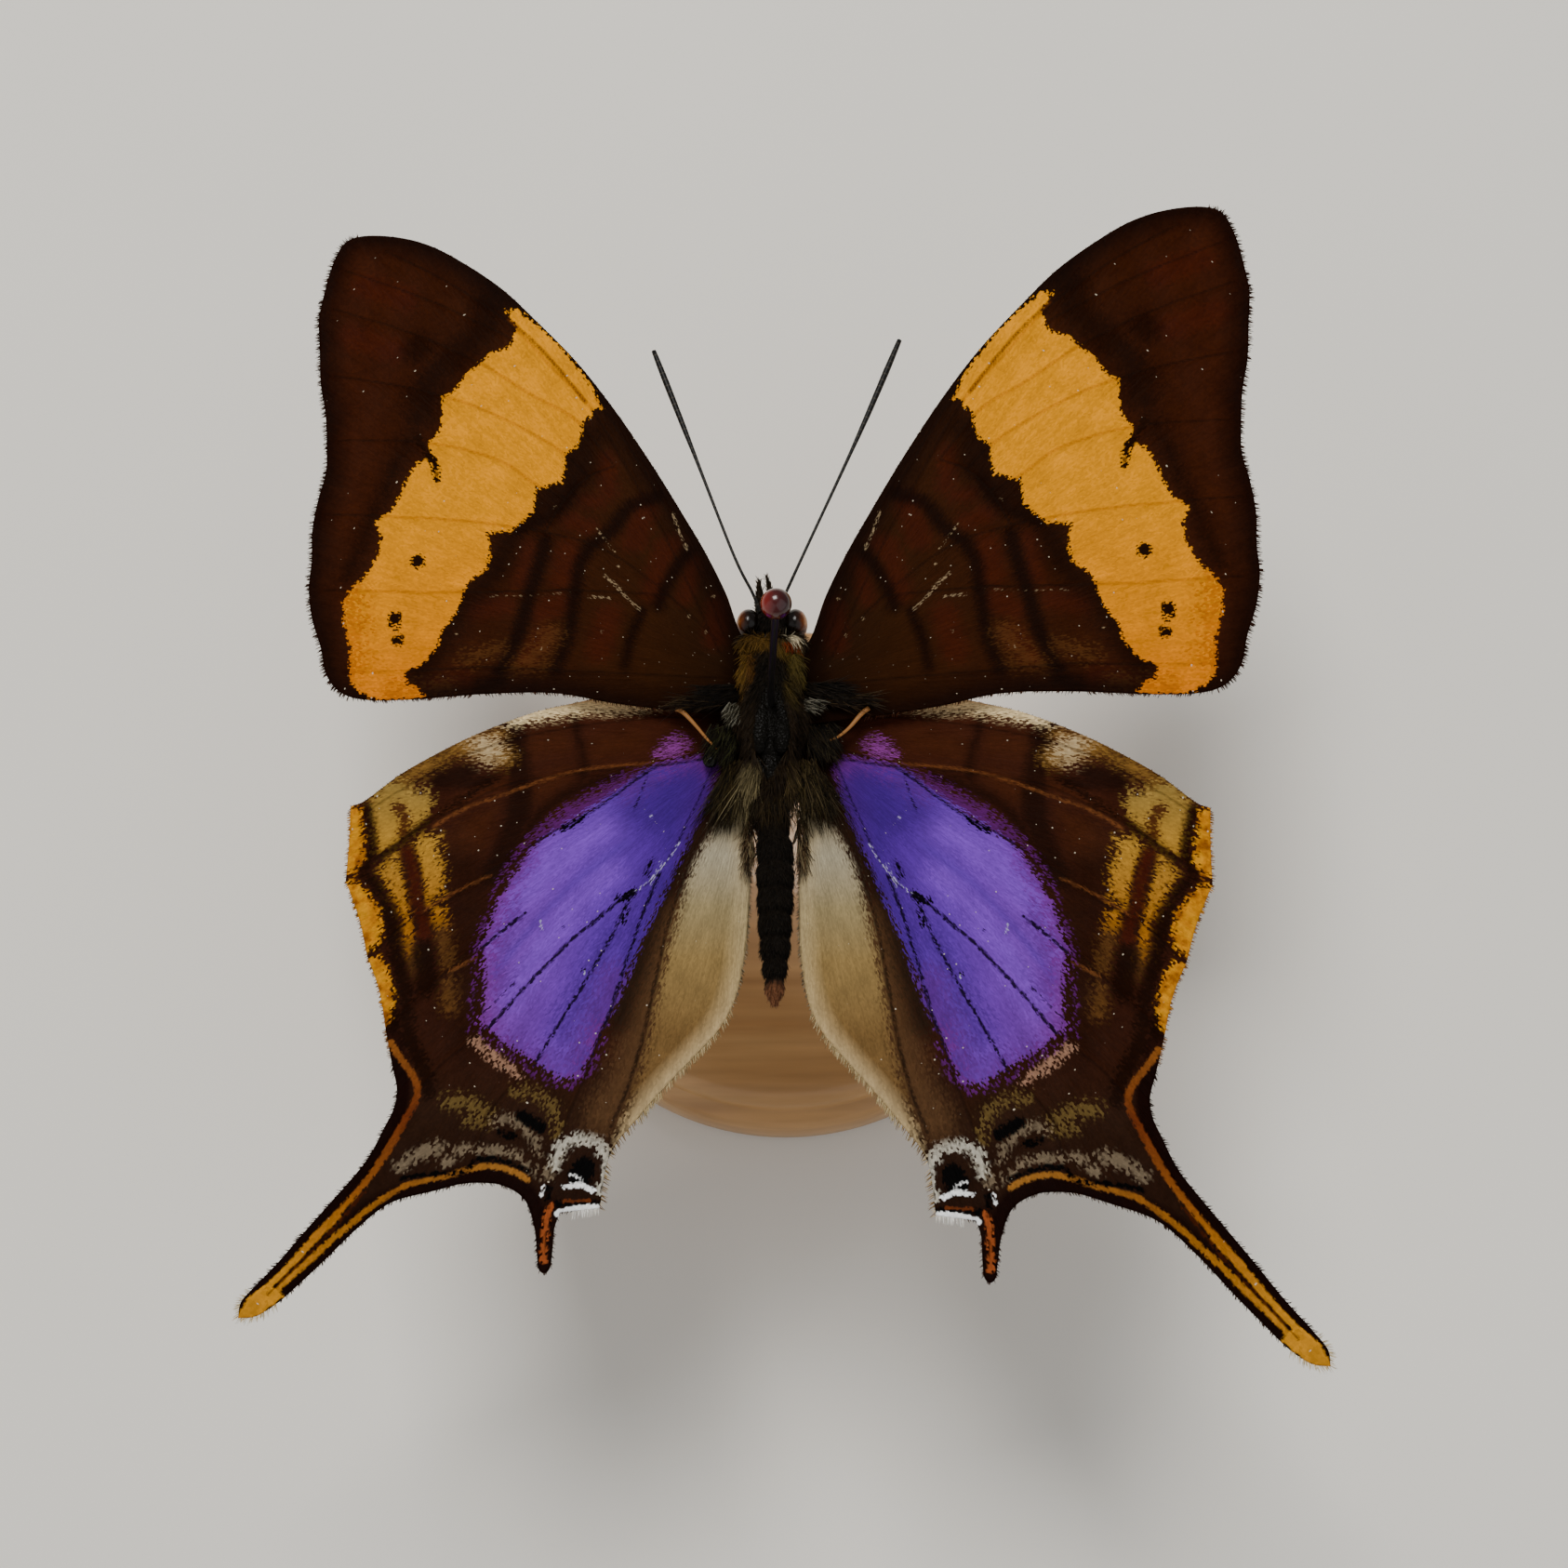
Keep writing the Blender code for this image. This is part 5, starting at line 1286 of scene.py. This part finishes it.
# Tufts over the wing roots: middle, how far roots scatter, way, length, how many hairs
# and their tint. A middle's first number is above zero on the left.
ROOT_TUFTS = [
    ((1.75, 0.55, 0.98), (0.30, 0.40, 0.12), (0.5, 0.8, 0.3), 0.7, 120, "grey"),
    ((-1.55, 0.25, 0.98), (0.32, 0.30, 0.12), (-0.7, 0.4, 0.3), 0.7, 100, "dull grey"),
    ((2.3, 1.6, 0.35), (0.6, 0.7, 0.15), (0.5, 1.0, 0.2), 1.0, 420, "mossy black"),
    ((-2.0, 1.5, 0.35), (0.6, 0.7, 0.15), (-0.5, 1.0, 0.2), 1.0, 420, "brownish black"),
    ((2.2, -0.35, 0.95), (0.8, 0.36, 0.1), (1.0, 0.25, 0.05), 1.2, 360, "black"),
    ((-2.0, -0.45, 0.95), (0.8, 0.36, 0.1), (-1.0, 0.25, 0.05), 1.2, 360, "black"),
    ((3.3, 0.1, 0.95), (1.0, 0.25, 0.08), (1.0, 0.12, 0.03), 1.2, 130, "dark tan"),
    ((-3.1, 0.0, 0.95), (1.0, 0.25, 0.08), (-1.0, 0.12, 0.03), 1.2, 130, "dark tan"),
    ((1.25, 3.3, 0.35), (0.22, 0.5, 0.15), (0.16, 1.0, -0.12), 2.2, 260, "straw"),
    ((1.75, 3.3, 0.25), (0.40, 0.7, 0.15), (0.25, 1.0, -0.10), 2.0, 420, "olive"),
    ((-1.35, 3.3, 0.3), (0.45, 0.7, 0.15), (-0.22, 1.0, -0.10), 2.0, 520, "pale olive"),
    ((2.1, 3.7, 0.0), (0.35, 0.5, 0.1), (0.35, 1.0, -0.05), 2.2, 220, "umber"),
    ((-1.9, 3.6, 0.0), (0.35, 0.5, 0.1), (-0.35, 1.0, -0.05), 2.2, 220, "umber"),
    ((0.1, 4.0, 0.6), (0.8, 0.4, 0.1), (-0.1, 1.0, -0.12), 1.6, 600, "warm umber"),
    ((1.15, 5.8, -0.7), (0.2, 1.2, 0.1), (0.1, 1.0, 0.05), 1.2, 260, "tan"),
    ((-1.15, 5.8, -0.7), (0.2, 1.2, 0.1), (-0.1, 1.0, 0.05), 1.2, 260, "tan"),
]


def pick_tints(rng, colours, count):
    """A linear colour from a few for each of a number of hairs."""
    shades = np.array([linear(colour)[:3] for colour in colours])
    return shades[rng.integers(0, len(shades), count)]


def root_hair(material):
    """Long hairs over the wing roots and the hindwings' folds."""
    rng = np.random.default_rng(3)
    roots, ways, lengths, tints = [], [], [], []
    for middle, scatter, way, length, count, tint in ROOT_TUFTS:
        roots.append(middle + rng.uniform(-1, 1, (count, 3)) * scatter)
        ways.append(way + rng.normal(0, 0.24, (count, 3)) * (1, 1, 0.5))
        lengths.append(length * rng.uniform(0.45, 1.2, count))
        tints.append(pick_tints(rng, TUFT_TINTS[tint], count)
                     * rng.uniform(0.6, 1.3, (count, 1)))
    roots, ways = np.concatenate(roots), np.concatenate(ways)
    lengths, tints = np.concatenate(lengths), np.concatenate(tints)
    unwrap = np.stack([roots[:, 0] / 10 + 0.5, (roots[:, 1] + 3) / 12], 1)
    hair_mesh("wing_root_hair", (roots + (0, 0, WING_Z)) * MM, ways, lengths * MM,
              rng.uniform(0.025, 0.045, len(roots)) * MM, np.array([0.0, 0.0, -0.12]), tints,
              unwrap, material)


# Fringe of each wing: where it starts and ends on the outline, hairs a millimetre,
# their length and how far they lean, and their colours
FORE_FRINGE = [
    ((3.21, -7.47), (20.87, -26.26), 10, 0.10, 0.8, ["#230e01", "#36200c"]),
    ((20.87, -26.26), (19.80, -1.38), 22, 0.26, 0.15, ["#230e01", "#2e1102", "#3a1909"]),
    ((19.80, -1.38), (3.99, 0.25), 18, 0.22, 0.5, ["#2e1403", "#42210f"]),
]
HIND_FRINGE = [
    ((3.67, -1.30), (19.36, 4.08), 14, 0.12, 0.6, ["#8a6a40", "#4a2f17"]),
    ((19.36, 4.08), (16.34, 15.77), 20, 0.20, 0.15, ["#c8881a", "#8a5a1c", "#5a3410"]),
    ((16.34, 15.77), (22.60, 26.72), 13, 0.24, 0.75, ["#190301", "#280f05"]),
    ((22.60, 26.72), (21.57, 27.46), 30, 0.34, 0.5, ["#efe8dc", "#d8c8a0", "#c8b080"]),
    ((21.57, 27.46), (10.30, 22.20), 15, 0.20, 0.7, ["#190301", "#280f05", "#3c2510"]),
    ((10.30, 22.20), (8.21, 22.60), 15, 0.18, 0.7, ["#190301", "#3c1a08"]),
    ((8.21, 22.60), (7.08, 22.57), 40, 0.38, 0.2, ["#f2efe8", "#e2ddd2"]),
    ((7.08, 22.57), (5.55, 18.61), 18, 0.34, 0.5, ["#c8b48c", "#8a7048", "#5a4024"]),
    ((5.55, 18.61), (1.80, 13.66), 34, 0.38, 0.9, ["#c0ac82", "#a8946a", "#86724c"]),
    ((1.80, 13.66), (1.35, 5.60), 26, 0.22, 0.8, ["#8e8064", "#75674c", "#54462f"]),
]


def wing_fringe(name, zones, material):
    """The fringe of scales and hairs round each wing of one kind."""
    outline, height, hinge, sweep = WINGS[name]
    rng = np.random.default_rng(5)
    rim = smooth_line(outline, 0.01, closed=True)
    ahead = np.roll(rim, -3, axis=0) - np.roll(rim, 3, axis=0)
    ahead /= np.linalg.norm(ahead, axis=1)[:, None]
    outward = np.stack([-ahead[:, 1], ahead[:, 0]], 1)
    if inside(rim[:1] + outward[:1] * 0.05, rim)[0]:
        outward = -outward
    roots, ways, lengths, tints = [], [], [], []
    for start, end, density, length, lean, colours in zones:
        first, last = (int(((rim - spot) ** 2).sum(1).argmin()) for spot in (start, end))
        stretch = np.arange(first, last)
        span = np.linalg.norm(np.diff(rim[stretch], axis=0), axis=1).sum()
        chosen = np.sort(rng.choice(stretch, int(span * density)))
        roots.append(rim[chosen] - outward[chosen] * 0.04)
        tailward = ahead[chosen] * np.sign(ahead[chosen][:, 1:] + 1e-6)
        ways.append(outward[chosen] + tailward * lean * rng.uniform(0.6, 1.4, (len(chosen), 1)))
        lengths.append(length * rng.uniform(0.55, 1.25, len(chosen)))
        tints.append(pick_tints(rng, colours, len(chosen)))
    roots, ways = np.concatenate(roots), np.concatenate(ways)
    lengths, tints = np.concatenate(lengths), np.concatenate(tints)
    tints = tints * rng.uniform(0.75, 1.2, (len(tints), 1))
    levels = height(*roots.T) + rng.uniform(-0.03, 0.03, len(roots)) - SHEET_DROP
    unwrap = np.stack([roots[:, 0] / 24.0, (roots[:, 1] + 27.0) / 56.0], 1)
    for side, letter in SIDES:
        matrix = wing_matrix(side, hinge, sweep)
        turned = np.array(matrix)[:3, :3]
        places = place_on_wing(np.column_stack([roots, levels]), matrix, side)
        tilt = rng.normal(0, 0.12, len(roots))
        hair_mesh(name + "_fringe_" + letter, places,
                  np.column_stack([ways, tilt]) @ turned.T, lengths * MM,
                  rng.uniform(0.035, 0.06, len(roots)) * MM, np.zeros(3), tints, unwrap,
                  material)


# Stage

def floor_material():
    """Matt painted board, a pale warm grey that stays plain."""
    material, tree = new_material("pale_painted_board")
    mottle = add(tree, "TexNoise", {"Scale": 18.0, "Detail": 3.0},
                 {"Vector": add(tree, "TexCoord").outputs["Object"]})
    tone = add(tree, "ValToRGB", {"ramp": [(0.3, "#ebe7de"), (0.7, "#efebe2")]},
               {"Fac": mottle.outputs["Fac"]})
    return finish_material(material, {"Base Color": tone.outputs[0]}, {"Roughness": 0.9})


# Properties, operators and panel

class DaggerwingSizes(bpy.types.PropertyGroup):
    """Sizes that a user would change."""
    mesh_step: bpy.props.FloatProperty(
        name="Mesh step", description="Side of a wing mesh's faces, in millimetres",
        default=0.11, min=0.08, max=0.5)
    wing_thickness: bpy.props.FloatProperty(
        name="Wing thickness", description="Thickness of the membrane with its scales",
        default=0.10 * MM, subtype="DISTANCE", unit="LENGTH", precision=6)
    vein_thickness: bpy.props.FloatProperty(
        name="Vein thickness", description="Thickness of the wing at a strong vein",
        default=0.22 * MM, subtype="DISTANCE", unit="LENGTH", precision=6)
    skin_voxel: bpy.props.FloatProperty(
        name="Skin voxel", description="Fineness of the body's skin, in millimetres",
        default=0.06, min=0.04, max=0.2)
    pin_diameter: bpy.props.FloatProperty(
        name="Pin diameter", description="Thickness of the insect pin",
        default=0.32 * MM, subtype="DISTANCE", unit="LENGTH", precision=6)


class DAGGERWING_OT_forewings(bpy.types.Operator):
    """Make both forewings with their orange band"""
    bl_idname = "daggerwing.forewings"
    bl_label = "Forewings"

    def execute(self, context):
        under = wing_underside("forewing_tan_underside", [
            (0.0, "#8d7a70"), (0.3, "#a88a70"), (0.6, "#c09468"), (1.0, "#97755a")], "#6b4426")
        make_wings(context.scene.daggerwing_sizes, "forewing", FORE_VEINS, FORE_MARKS,
                   [forewing_scales(), under])
        return {"FINISHED"}


class DAGGERWING_OT_hindwings(bpy.types.Operator):
    """Make both hindwings with their violet fields and tails"""
    bl_idname = "daggerwing.hindwings"
    bl_label = "Hindwings"

    def execute(self, context):
        under = wing_underside("hindwing_tan_underside", [
            (0.0, "#93827a"), (0.3, "#a08672"), (0.7, "#b08c68"), (1.0, "#a1764e")], "#6b4426")
        make_wings(context.scene.daggerwing_sizes, "hindwing", HIND_VEINS, HIND_MARKS,
                   [hindwing_scales(), under])
        return {"FINISHED"}


class DAGGERWING_OT_body(bpy.types.Operator):
    """Make the skin of head, thorax and abdomen with its hair, and the eyes"""
    bl_idname = "daggerwing.body"
    bl_label = "Body"

    def execute(self, context):
        props = context.scene.daggerwing_sizes
        skin = new_object("body_skin", body_skin(props.skin_voxel))
        mesh = skin.data
        at = read_places(mesh) / MM - (0, 0, WING_Z)
        shield = np.where(at[:, 2] > 0.5, field(at[:, :2], [(None, SHIELD)]), -1.0)
        write_values(mesh, "shield", "FLOAT", shield)
        tint = np.column_stack([body_colour(at), np.ones(len(at))])
        write_values(mesh, "tint", "FLOAT_COLOR", tint)
        finish_piece(skin, ["thorax", "abdomen", "head", "palp_l", "palp_r"],
                     [body_cuticle()])
        hair = hair_material("brown_body_hair")
        body_hair(mesh, hair)
        root_hair(hair)
        eye_finish = eye_material()
        for side, letter in SIDES:
            bm = bmesh.new()
            bmesh.ops.create_uvsphere(
                bm, u_segments=48, v_segments=32, radius=1.0,
                matrix=Matrix.Translation((side * EYE_CENTRE[0] + BODY_LEAN, EYE_CENTRE[1],
                                           EYE_CENTRE[2]))
                @ Matrix.Diagonal((*EYE_RADII, 1)))
            rim = bm.verts.layers.float.new("rim")
            for vert in bm.verts:
                out = (vert.co.x - BODY_LEAN) * side - EYE_CENTRE[0]
                vert[rim] = out / EYE_RADII[0] * 0.8 + (EYE_CENTRE[1] - vert.co.y) * 0.25
            set_in_place(bm)
            finish_piece(new_object("eye_faceted_" + letter, bm), ["eye_" + letter],
                         [eye_finish])
        return {"FINISHED"}


# Middle lines and radii of the antennae, legs, the tendons at the wing roots and the
# coiled proboscis, and the size of a bare plate at the left hindwing's root
ANTENNAE = {
    "l": [(0.75, -4.50, 0.45), (1.08, -5.25, 0.85), (1.95, -7.0, 1.25), (3.95, -12.4, 1.45),
          (5.75, -17.25, 1.6)],
    "r": [(-0.10, -4.55, 0.45), (-0.45, -5.25, 0.85), (-1.30, -7.1, 1.25), (-3.78, -12.9, 1.45),
          (-5.70, -17.75, 1.6)],
}
ANTENNA_RADII = [0.10, 0.07, 0.07, 0.07, 0.07, 0.068, 0.068, 0.08, 0.13, 0.15, 0.11]
LEGS = {
    "foreleg": [(0.50, -2.05, -1.60), (0.62, -2.10, -2.50), (0.95, -2.75, -2.45),
                (1.20, -3.20, -2.85), (1.12, -2.95, -3.40), (0.85, -2.10, -3.60),
                (0.72, -1.20, -3.62)],
    "midleg": [(0.55, 0.0, -2.10), (0.85, -0.10, -3.15), (1.45, -0.95, -3.10),
               (2.10, -1.35, -3.25), (2.45, -0.85, -3.45), (2.25, 0.30, -3.58),
               (1.75, 1.80, -3.68), (1.15, 3.90, -3.58), (0.75, 5.30, -3.38)],
    "hindleg": [(0.70, 1.60, -2.00), (1.02, 1.55, -2.90), (1.75, 1.15, -2.70),
                (2.45, 1.25, -2.55), (2.65, 2.00, -2.60), (2.40, 3.60, -2.75),
                (1.65, 6.60, -2.85), (1.20, 8.60, -2.75)],
}
LEG_RADII = [0.26, 0.20, 0.15, 0.12, 0.10, 0.08, 0.06]
STRAPS = {
    "l": [(4.45, 0.30, 0.62), (4.10, 0.50, 0.66), (3.55, 1.10, 0.62), (3.00, 1.75, 0.50),
          (2.60, 2.15, 0.40)],
    "r": [(-4.15, 0.30, 0.62), (-3.80, 0.60, 0.66), (-3.30, 1.20, 0.62), (-2.80, 1.60, 0.50),
          (-2.40, 1.75, 0.40)],
}
STRAP_RADII = [0.12, 0.11, 0.08, 0.06, 0.03]
PROBOSCIS_ROOT, COIL_MIDDLE = (0.0, -4.60, -0.70), (-4.95, -1.50)
COIL_RADIUS, COIL_SHRINK, COIL_TURN, COIL_START, COIL_STEPS = 0.62, 0.055, 0.6, 1.2, 8
PROBOSCIS_RADII = [0.12, 0.10, 0.09, 0.08, 0.06]
BARE_PLATE, BARE_PLATE_RADII = (2.90, 2.55, 0.25), (0.34, 0.42, 0.20)


class DAGGERWING_OT_limbs(bpy.types.Operator):
    """Make the clubbed antennae, folded legs, coiled proboscis and wing-root tendons"""
    bl_idname = "daggerwing.limbs"
    bl_label = "Antennae, legs and proboscis"

    def execute(self, context):
        antenna = limb_cuticle("antenna_cuticle", "#0a0806", "#4a4236", 0.34)
        leg = limb_cuticle("leg_cuticle", "#1c120a", "#4a3a26", 1.1)
        for letter, points in ANTENNAE.items():
            limb_piece("antenna_clubbed_" + letter, ["antenna_" + letter], "cuticle", antenna,
                       points, ANTENNA_RADII, steps=12)
        for side, letter in SIDES:
            for name, points in LEGS.items():
                limb_piece(name + "_jointed_" + letter, [name + "_" + letter], "cuticle", leg,
                           [(side * x, y, z) for x, y, z in points], LEG_RADII)
        strap = limb_cuticle("ochre_tendon", "#8c5c2a", "#6a4420", 3.0)
        for letter, points in STRAPS.items():
            limb_piece("wing_strap_" + letter, [], "cuticle", strap, points, STRAP_RADII,
                       steps=5, flat=0.45)
        bm = bmesh.new()
        bmesh.ops.create_uvsphere(
            bm, u_segments=24, v_segments=16, radius=1.0,
            matrix=Matrix.Translation(BARE_PLATE) @ Matrix.Diagonal((*BARE_PLATE_RADII, 1)))
        set_in_place(bm)
        plate = limb_cuticle("bare_black_plate", "#050403", "#050403", 3.0, roughness=0.12)
        finish_piece(new_object("bare_root_plate", bm), [], [plate])
        coil = [PROBOSCIS_ROOT]
        for k in range(COIL_STEPS):
            radius, turn = COIL_RADIUS - COIL_SHRINK * k, COIL_TURN * k + COIL_START
            coil.append((0.0, COIL_MIDDLE[0] + radius * math.cos(turn),
                         COIL_MIDDLE[1] + radius * math.sin(turn)))
        limb_piece("proboscis_coiled", ["proboscis"], "cuticle", leg, coil, PROBOSCIS_RADII)
        return {"FINISHED"}


class DAGGERWING_OT_fringes(bpy.types.Operator):
    """Make the fringes of scales and hairs round the wings"""
    bl_idname = "daggerwing.fringes"
    bl_label = "Fringes"

    def execute(self, context):
        hair = hair_material("wing_fringe_hair")
        wing_fringe("forewing", FORE_FRINGE, hair)
        wing_fringe("hindwing", HIND_FRINGE, hair)
        return {"FINISHED"}


def maple():
    """Turned maple: pale and close-grained, with a thin satin oil."""
    material, tree = new_material("turned_maple")
    place = add(tree, "TexCoord").outputs["Object"]
    grain_way = add(tree, "Mapping", {"Scale": (120.0, 1600.0, 1600.0)}, {"Vector": place})
    fibre = add(tree, "TexNoise", {"Scale": 1.0, "Detail": 6.0},
                {"Vector": grain_way.outputs["Vector"]})
    ring_way = add(tree, "Mapping", {"Scale": (30.0, 420.0, 420.0)}, {"Vector": place})
    rings = add(tree, "TexNoise", {"Scale": 1.0, "Detail": 3.0, "Distortion": 0.6},
                {"Vector": ring_way.outputs["Vector"]})
    tone = add(tree, "ValToRGB", {"ramp": [(0.30, "#a87b48"), (0.5, "#b98d58"), (0.70, "#c59a64")]},
               {"Fac": rings.outputs["Fac"]})
    flecks = add(tree, "MapRange", {"From Min": 0.35, "From Max": 0.7, "To Min": 0.86,
                                    "To Max": 1.06}, {"Value": fibre.outputs["Fac"]})
    colour = add(tree, "HueSaturation", {}, {"Color": tone.outputs[0], "Value": flecks.outputs[0]})
    bump = add(tree, "Bump", {"Strength": 0.2, "Distance": 0.03 * MM},
               {"Height": fibre.outputs["Fac"]})
    return finish_material(
        material, {"Base Color": colour.outputs[0], "Normal": bump.outputs["Normal"]},
        {"Roughness": 0.42, "Coat Weight": 0.15})


def enamelled_steel():
    """Black enamel on a steel insect pin: smooth, with a sharp highlight."""
    material, tree = new_material("black_enamelled_steel")
    speck = add(tree, "TexNoise", {"Scale": 4000.0},
                {"Vector": add(tree, "TexCoord").outputs["Object"]})
    tone = add(tree, "ValToRGB", {"ramp": [(0.3, "#0f0e0c"), (0.7, "#1a1816")]},
               {"Fac": speck.outputs["Fac"]})
    return finish_material(material, {"Base Color": tone.outputs[0]},
                           {"Roughness": 0.35, "Specular IOR Level": 0.3})


def red_glass():
    """Dark red glass bead: deep colour, lighter where light gathers, with a sharp highlight."""
    material, tree = new_material("dark_red_glass")
    place = add(tree, "TexCoord").outputs["Object"]
    across = add(tree, "SeparateXYZ", {}, {"Vector": place})
    glow = add(tree, "MapRange", {"From Min": (PIN_BEND - 0.45) * MM,
                                  "From Max": (PIN_BEND + 0.6) * MM},
               {"Value": across.outputs["X"]})
    tone = add(tree, "ValToRGB", {"ramp": [(0.0, "#260101"), (0.5, "#400302"), (1.0, "#82180e")]},
               {"Fac": glow.outputs[0]})
    return finish_material(material, {"Base Color": tone.outputs[0]}, {
        "Roughness": 0.10, "Specular IOR Level": 0.25, "Coat Weight": 0.6,
        "Coat Roughness": 0.26})


# The turned base's edge: how far in from its rim, and up from its foot or down from its top
BASE_FOOT = [(0.8, 0.0), (0.2, 0.25), (0.0, 0.8)]
BASE_EDGE = [(0.0, 1.7), (0.25, 1.35), (0.7, 1.2), (0.75, 0.9), (0.9, 0.4), (1.5, 0.05), (2.4, 0.0)]


class DAGGERWING_OT_mount(bpy.types.Operator):
    """Make the insect pin with its glass bead and the turned base"""
    bl_idname = "daggerwing.mount"
    bl_label = "Pin and base"

    def execute(self, context):
        props = context.scene.daggerwing_sizes
        middle = (BALL_LOW + BALL_HIGH) / 2
        bead_middle = middle + Vector((PIN_BEND * MM, 0, 0))
        radius = props.pin_diameter / 2 / MM
        foot, bead = PIN_LOW.z / MM - WING_Z, bead_middle.z / MM - WING_Z
        place = middle.y / MM
        limb_piece("pin_shaft_enamelled", ["pin_shaft"], "pin_steel", enamelled_steel(),
                   [(0, place, foot), (0, place, foot + 1.2), (0, place, foot + 12),
                    (0.18, place, 1.0), (PIN_BEND, place, bead - 0.3)],
                   [PIN_POINT] + [radius] * 4, sides=24)
        bm = bmesh.new()
        bmesh.ops.create_uvsphere(bm, u_segments=48, v_segments=32, radius=BEAD_RADIUS * MM,
                                  matrix=Matrix.Translation(bead_middle))
        finish_piece(new_object("pin_bead_glass", bm), ["pin_head"], [red_glass()])
        bm = bmesh.new()
        wide, top = BASE_HIGH.x, BASE_HIGH.z
        profile = [(0.0, 0.0)]
        profile += [(wide - inset * MM, up * MM) for inset, up in BASE_FOOT]
        profile += [(wide - inset * MM, top - down * MM) for inset, down in BASE_EDGE]
        self.spin(bm, profile + [(0.0, top)], 128)
        finish_piece(new_object("base_turned", bm), ["stand_base"], [maple()])
        return {"FINISHED"}

    def spin(self, bm, profile, steps):
        """Turn a profile of (radius, height) about the upright axis."""
        verts = [bm.verts.new((radius, 0, z)) for radius, z in profile]
        edges = [bm.edges.new(pair) for pair in zip(verts, verts[1:])]
        bmesh.ops.spin(bm, geom=verts + edges, cent=(0, 0, 0), axis=(0, 0, 1),
                       angle=2 * math.pi, steps=steps, use_merge=True)
        bmesh.ops.remove_doubles(bm, verts=bm.verts, dist=1e-6)
        bmesh.ops.recalc_face_normals(bm, faces=bm.faces)


# Studio lights: place and side in metres, power in watts, and colour
LIGHTS = {
    "key": ((0.05, -0.16, 0.42), 0.17, 1.6, (1.0, 0.98, 0.95)),
    "fill": ((-0.30, 0.20, 0.30), 0.60, 0.7, (0.94, 0.97, 1.0)),
    "rim": ((0.30, 0.25, 0.25), 0.60, 0.5, (1.0, 1.0, 1.0)),
}
WORLD_COLOUR, WORLD_STRENGTH = "#e6e8ea", 0.34


class DAGGERWING_OT_stage(bpy.types.Operator):
    """Make the pale floor, the soft lights and the photo's camera"""
    bl_idname = "daggerwing.stage"
    bl_label = "Stage"

    def execute(self, context):
        bm = bmesh.new()
        bmesh.ops.create_grid(bm, x_segments=2, y_segments=2, size=1.5)
        floor = new_object("floor", bm)
        floor.data.materials.append(floor_material())
        for name, (place, size, power, colour) in LIGHTS.items():
            light = bpy.data.lights.new(name, "AREA")
            light.energy = power
            light.size = size
            light.color = colour
            lamp = link_object(name, light)
            lamp.location = place
            aim = Vector((0, 0, WING_Z * MM)) - Vector(place)
            lamp.rotation_euler = aim.to_track_quat("-Z", "Y").to_euler()
        world = bpy.data.worlds.new("studio")
        world.use_nodes = True
        light = world.node_tree.nodes["Background"].inputs
        light["Color"].default_value = linear(WORLD_COLOUR)
        light["Strength"].default_value = WORLD_STRENGTH
        context.scene.world = world
        camera = link_object("camera", bpy.data.cameras.new("camera"))
        camera.data.lens = CAMERA_LENS
        camera.data.clip_start = 0.005
        camera.location = [value * MM for value in CAMERA_PLACE]
        camera.rotation_euler = [math.radians(angle) for angle in CAMERA_ANGLES]
        context.scene.camera = camera
        return {"FINISHED"}


OPERATORS = (DAGGERWING_OT_forewings, DAGGERWING_OT_hindwings, DAGGERWING_OT_fringes,
             DAGGERWING_OT_body, DAGGERWING_OT_limbs, DAGGERWING_OT_mount, DAGGERWING_OT_stage)


class DAGGERWING_PT_panel(bpy.types.Panel):
    """Lists the pieces of the daggerwing"""
    bl_label = "Corinna daggerwing"
    bl_space_type = "VIEW_3D"
    bl_region_type = "UI"
    bl_category = "Daggerwing"

    def draw(self, context):
        for name in DaggerwingSizes.__annotations__:
            self.layout.prop(context.scene.daggerwing_sizes, name)
        for operator in OPERATORS:
            self.layout.operator(operator.bl_idname)


def register():
    bpy.utils.register_class(DaggerwingSizes)
    bpy.types.Scene.daggerwing_sizes = bpy.props.PointerProperty(type=DaggerwingSizes)
    for operator in OPERATORS:
        bpy.utils.register_class(operator)
    bpy.utils.register_class(DAGGERWING_PT_panel)


def unregister():
    bpy.utils.unregister_class(DAGGERWING_PT_panel)
    for operator in reversed(OPERATORS):
        bpy.utils.unregister_class(operator)
    del bpy.types.Scene.daggerwing_sizes
    bpy.utils.unregister_class(DaggerwingSizes)


def main():
    """Make every piece and the stage."""
    register()
    bpy.ops.daggerwing.forewings()
    bpy.ops.daggerwing.hindwings()
    bpy.ops.daggerwing.fringes()
    bpy.ops.daggerwing.body()
    bpy.ops.daggerwing.limbs()
    bpy.ops.daggerwing.mount()
    bpy.ops.daggerwing.stage()


if __name__ == "__main__":
    main()
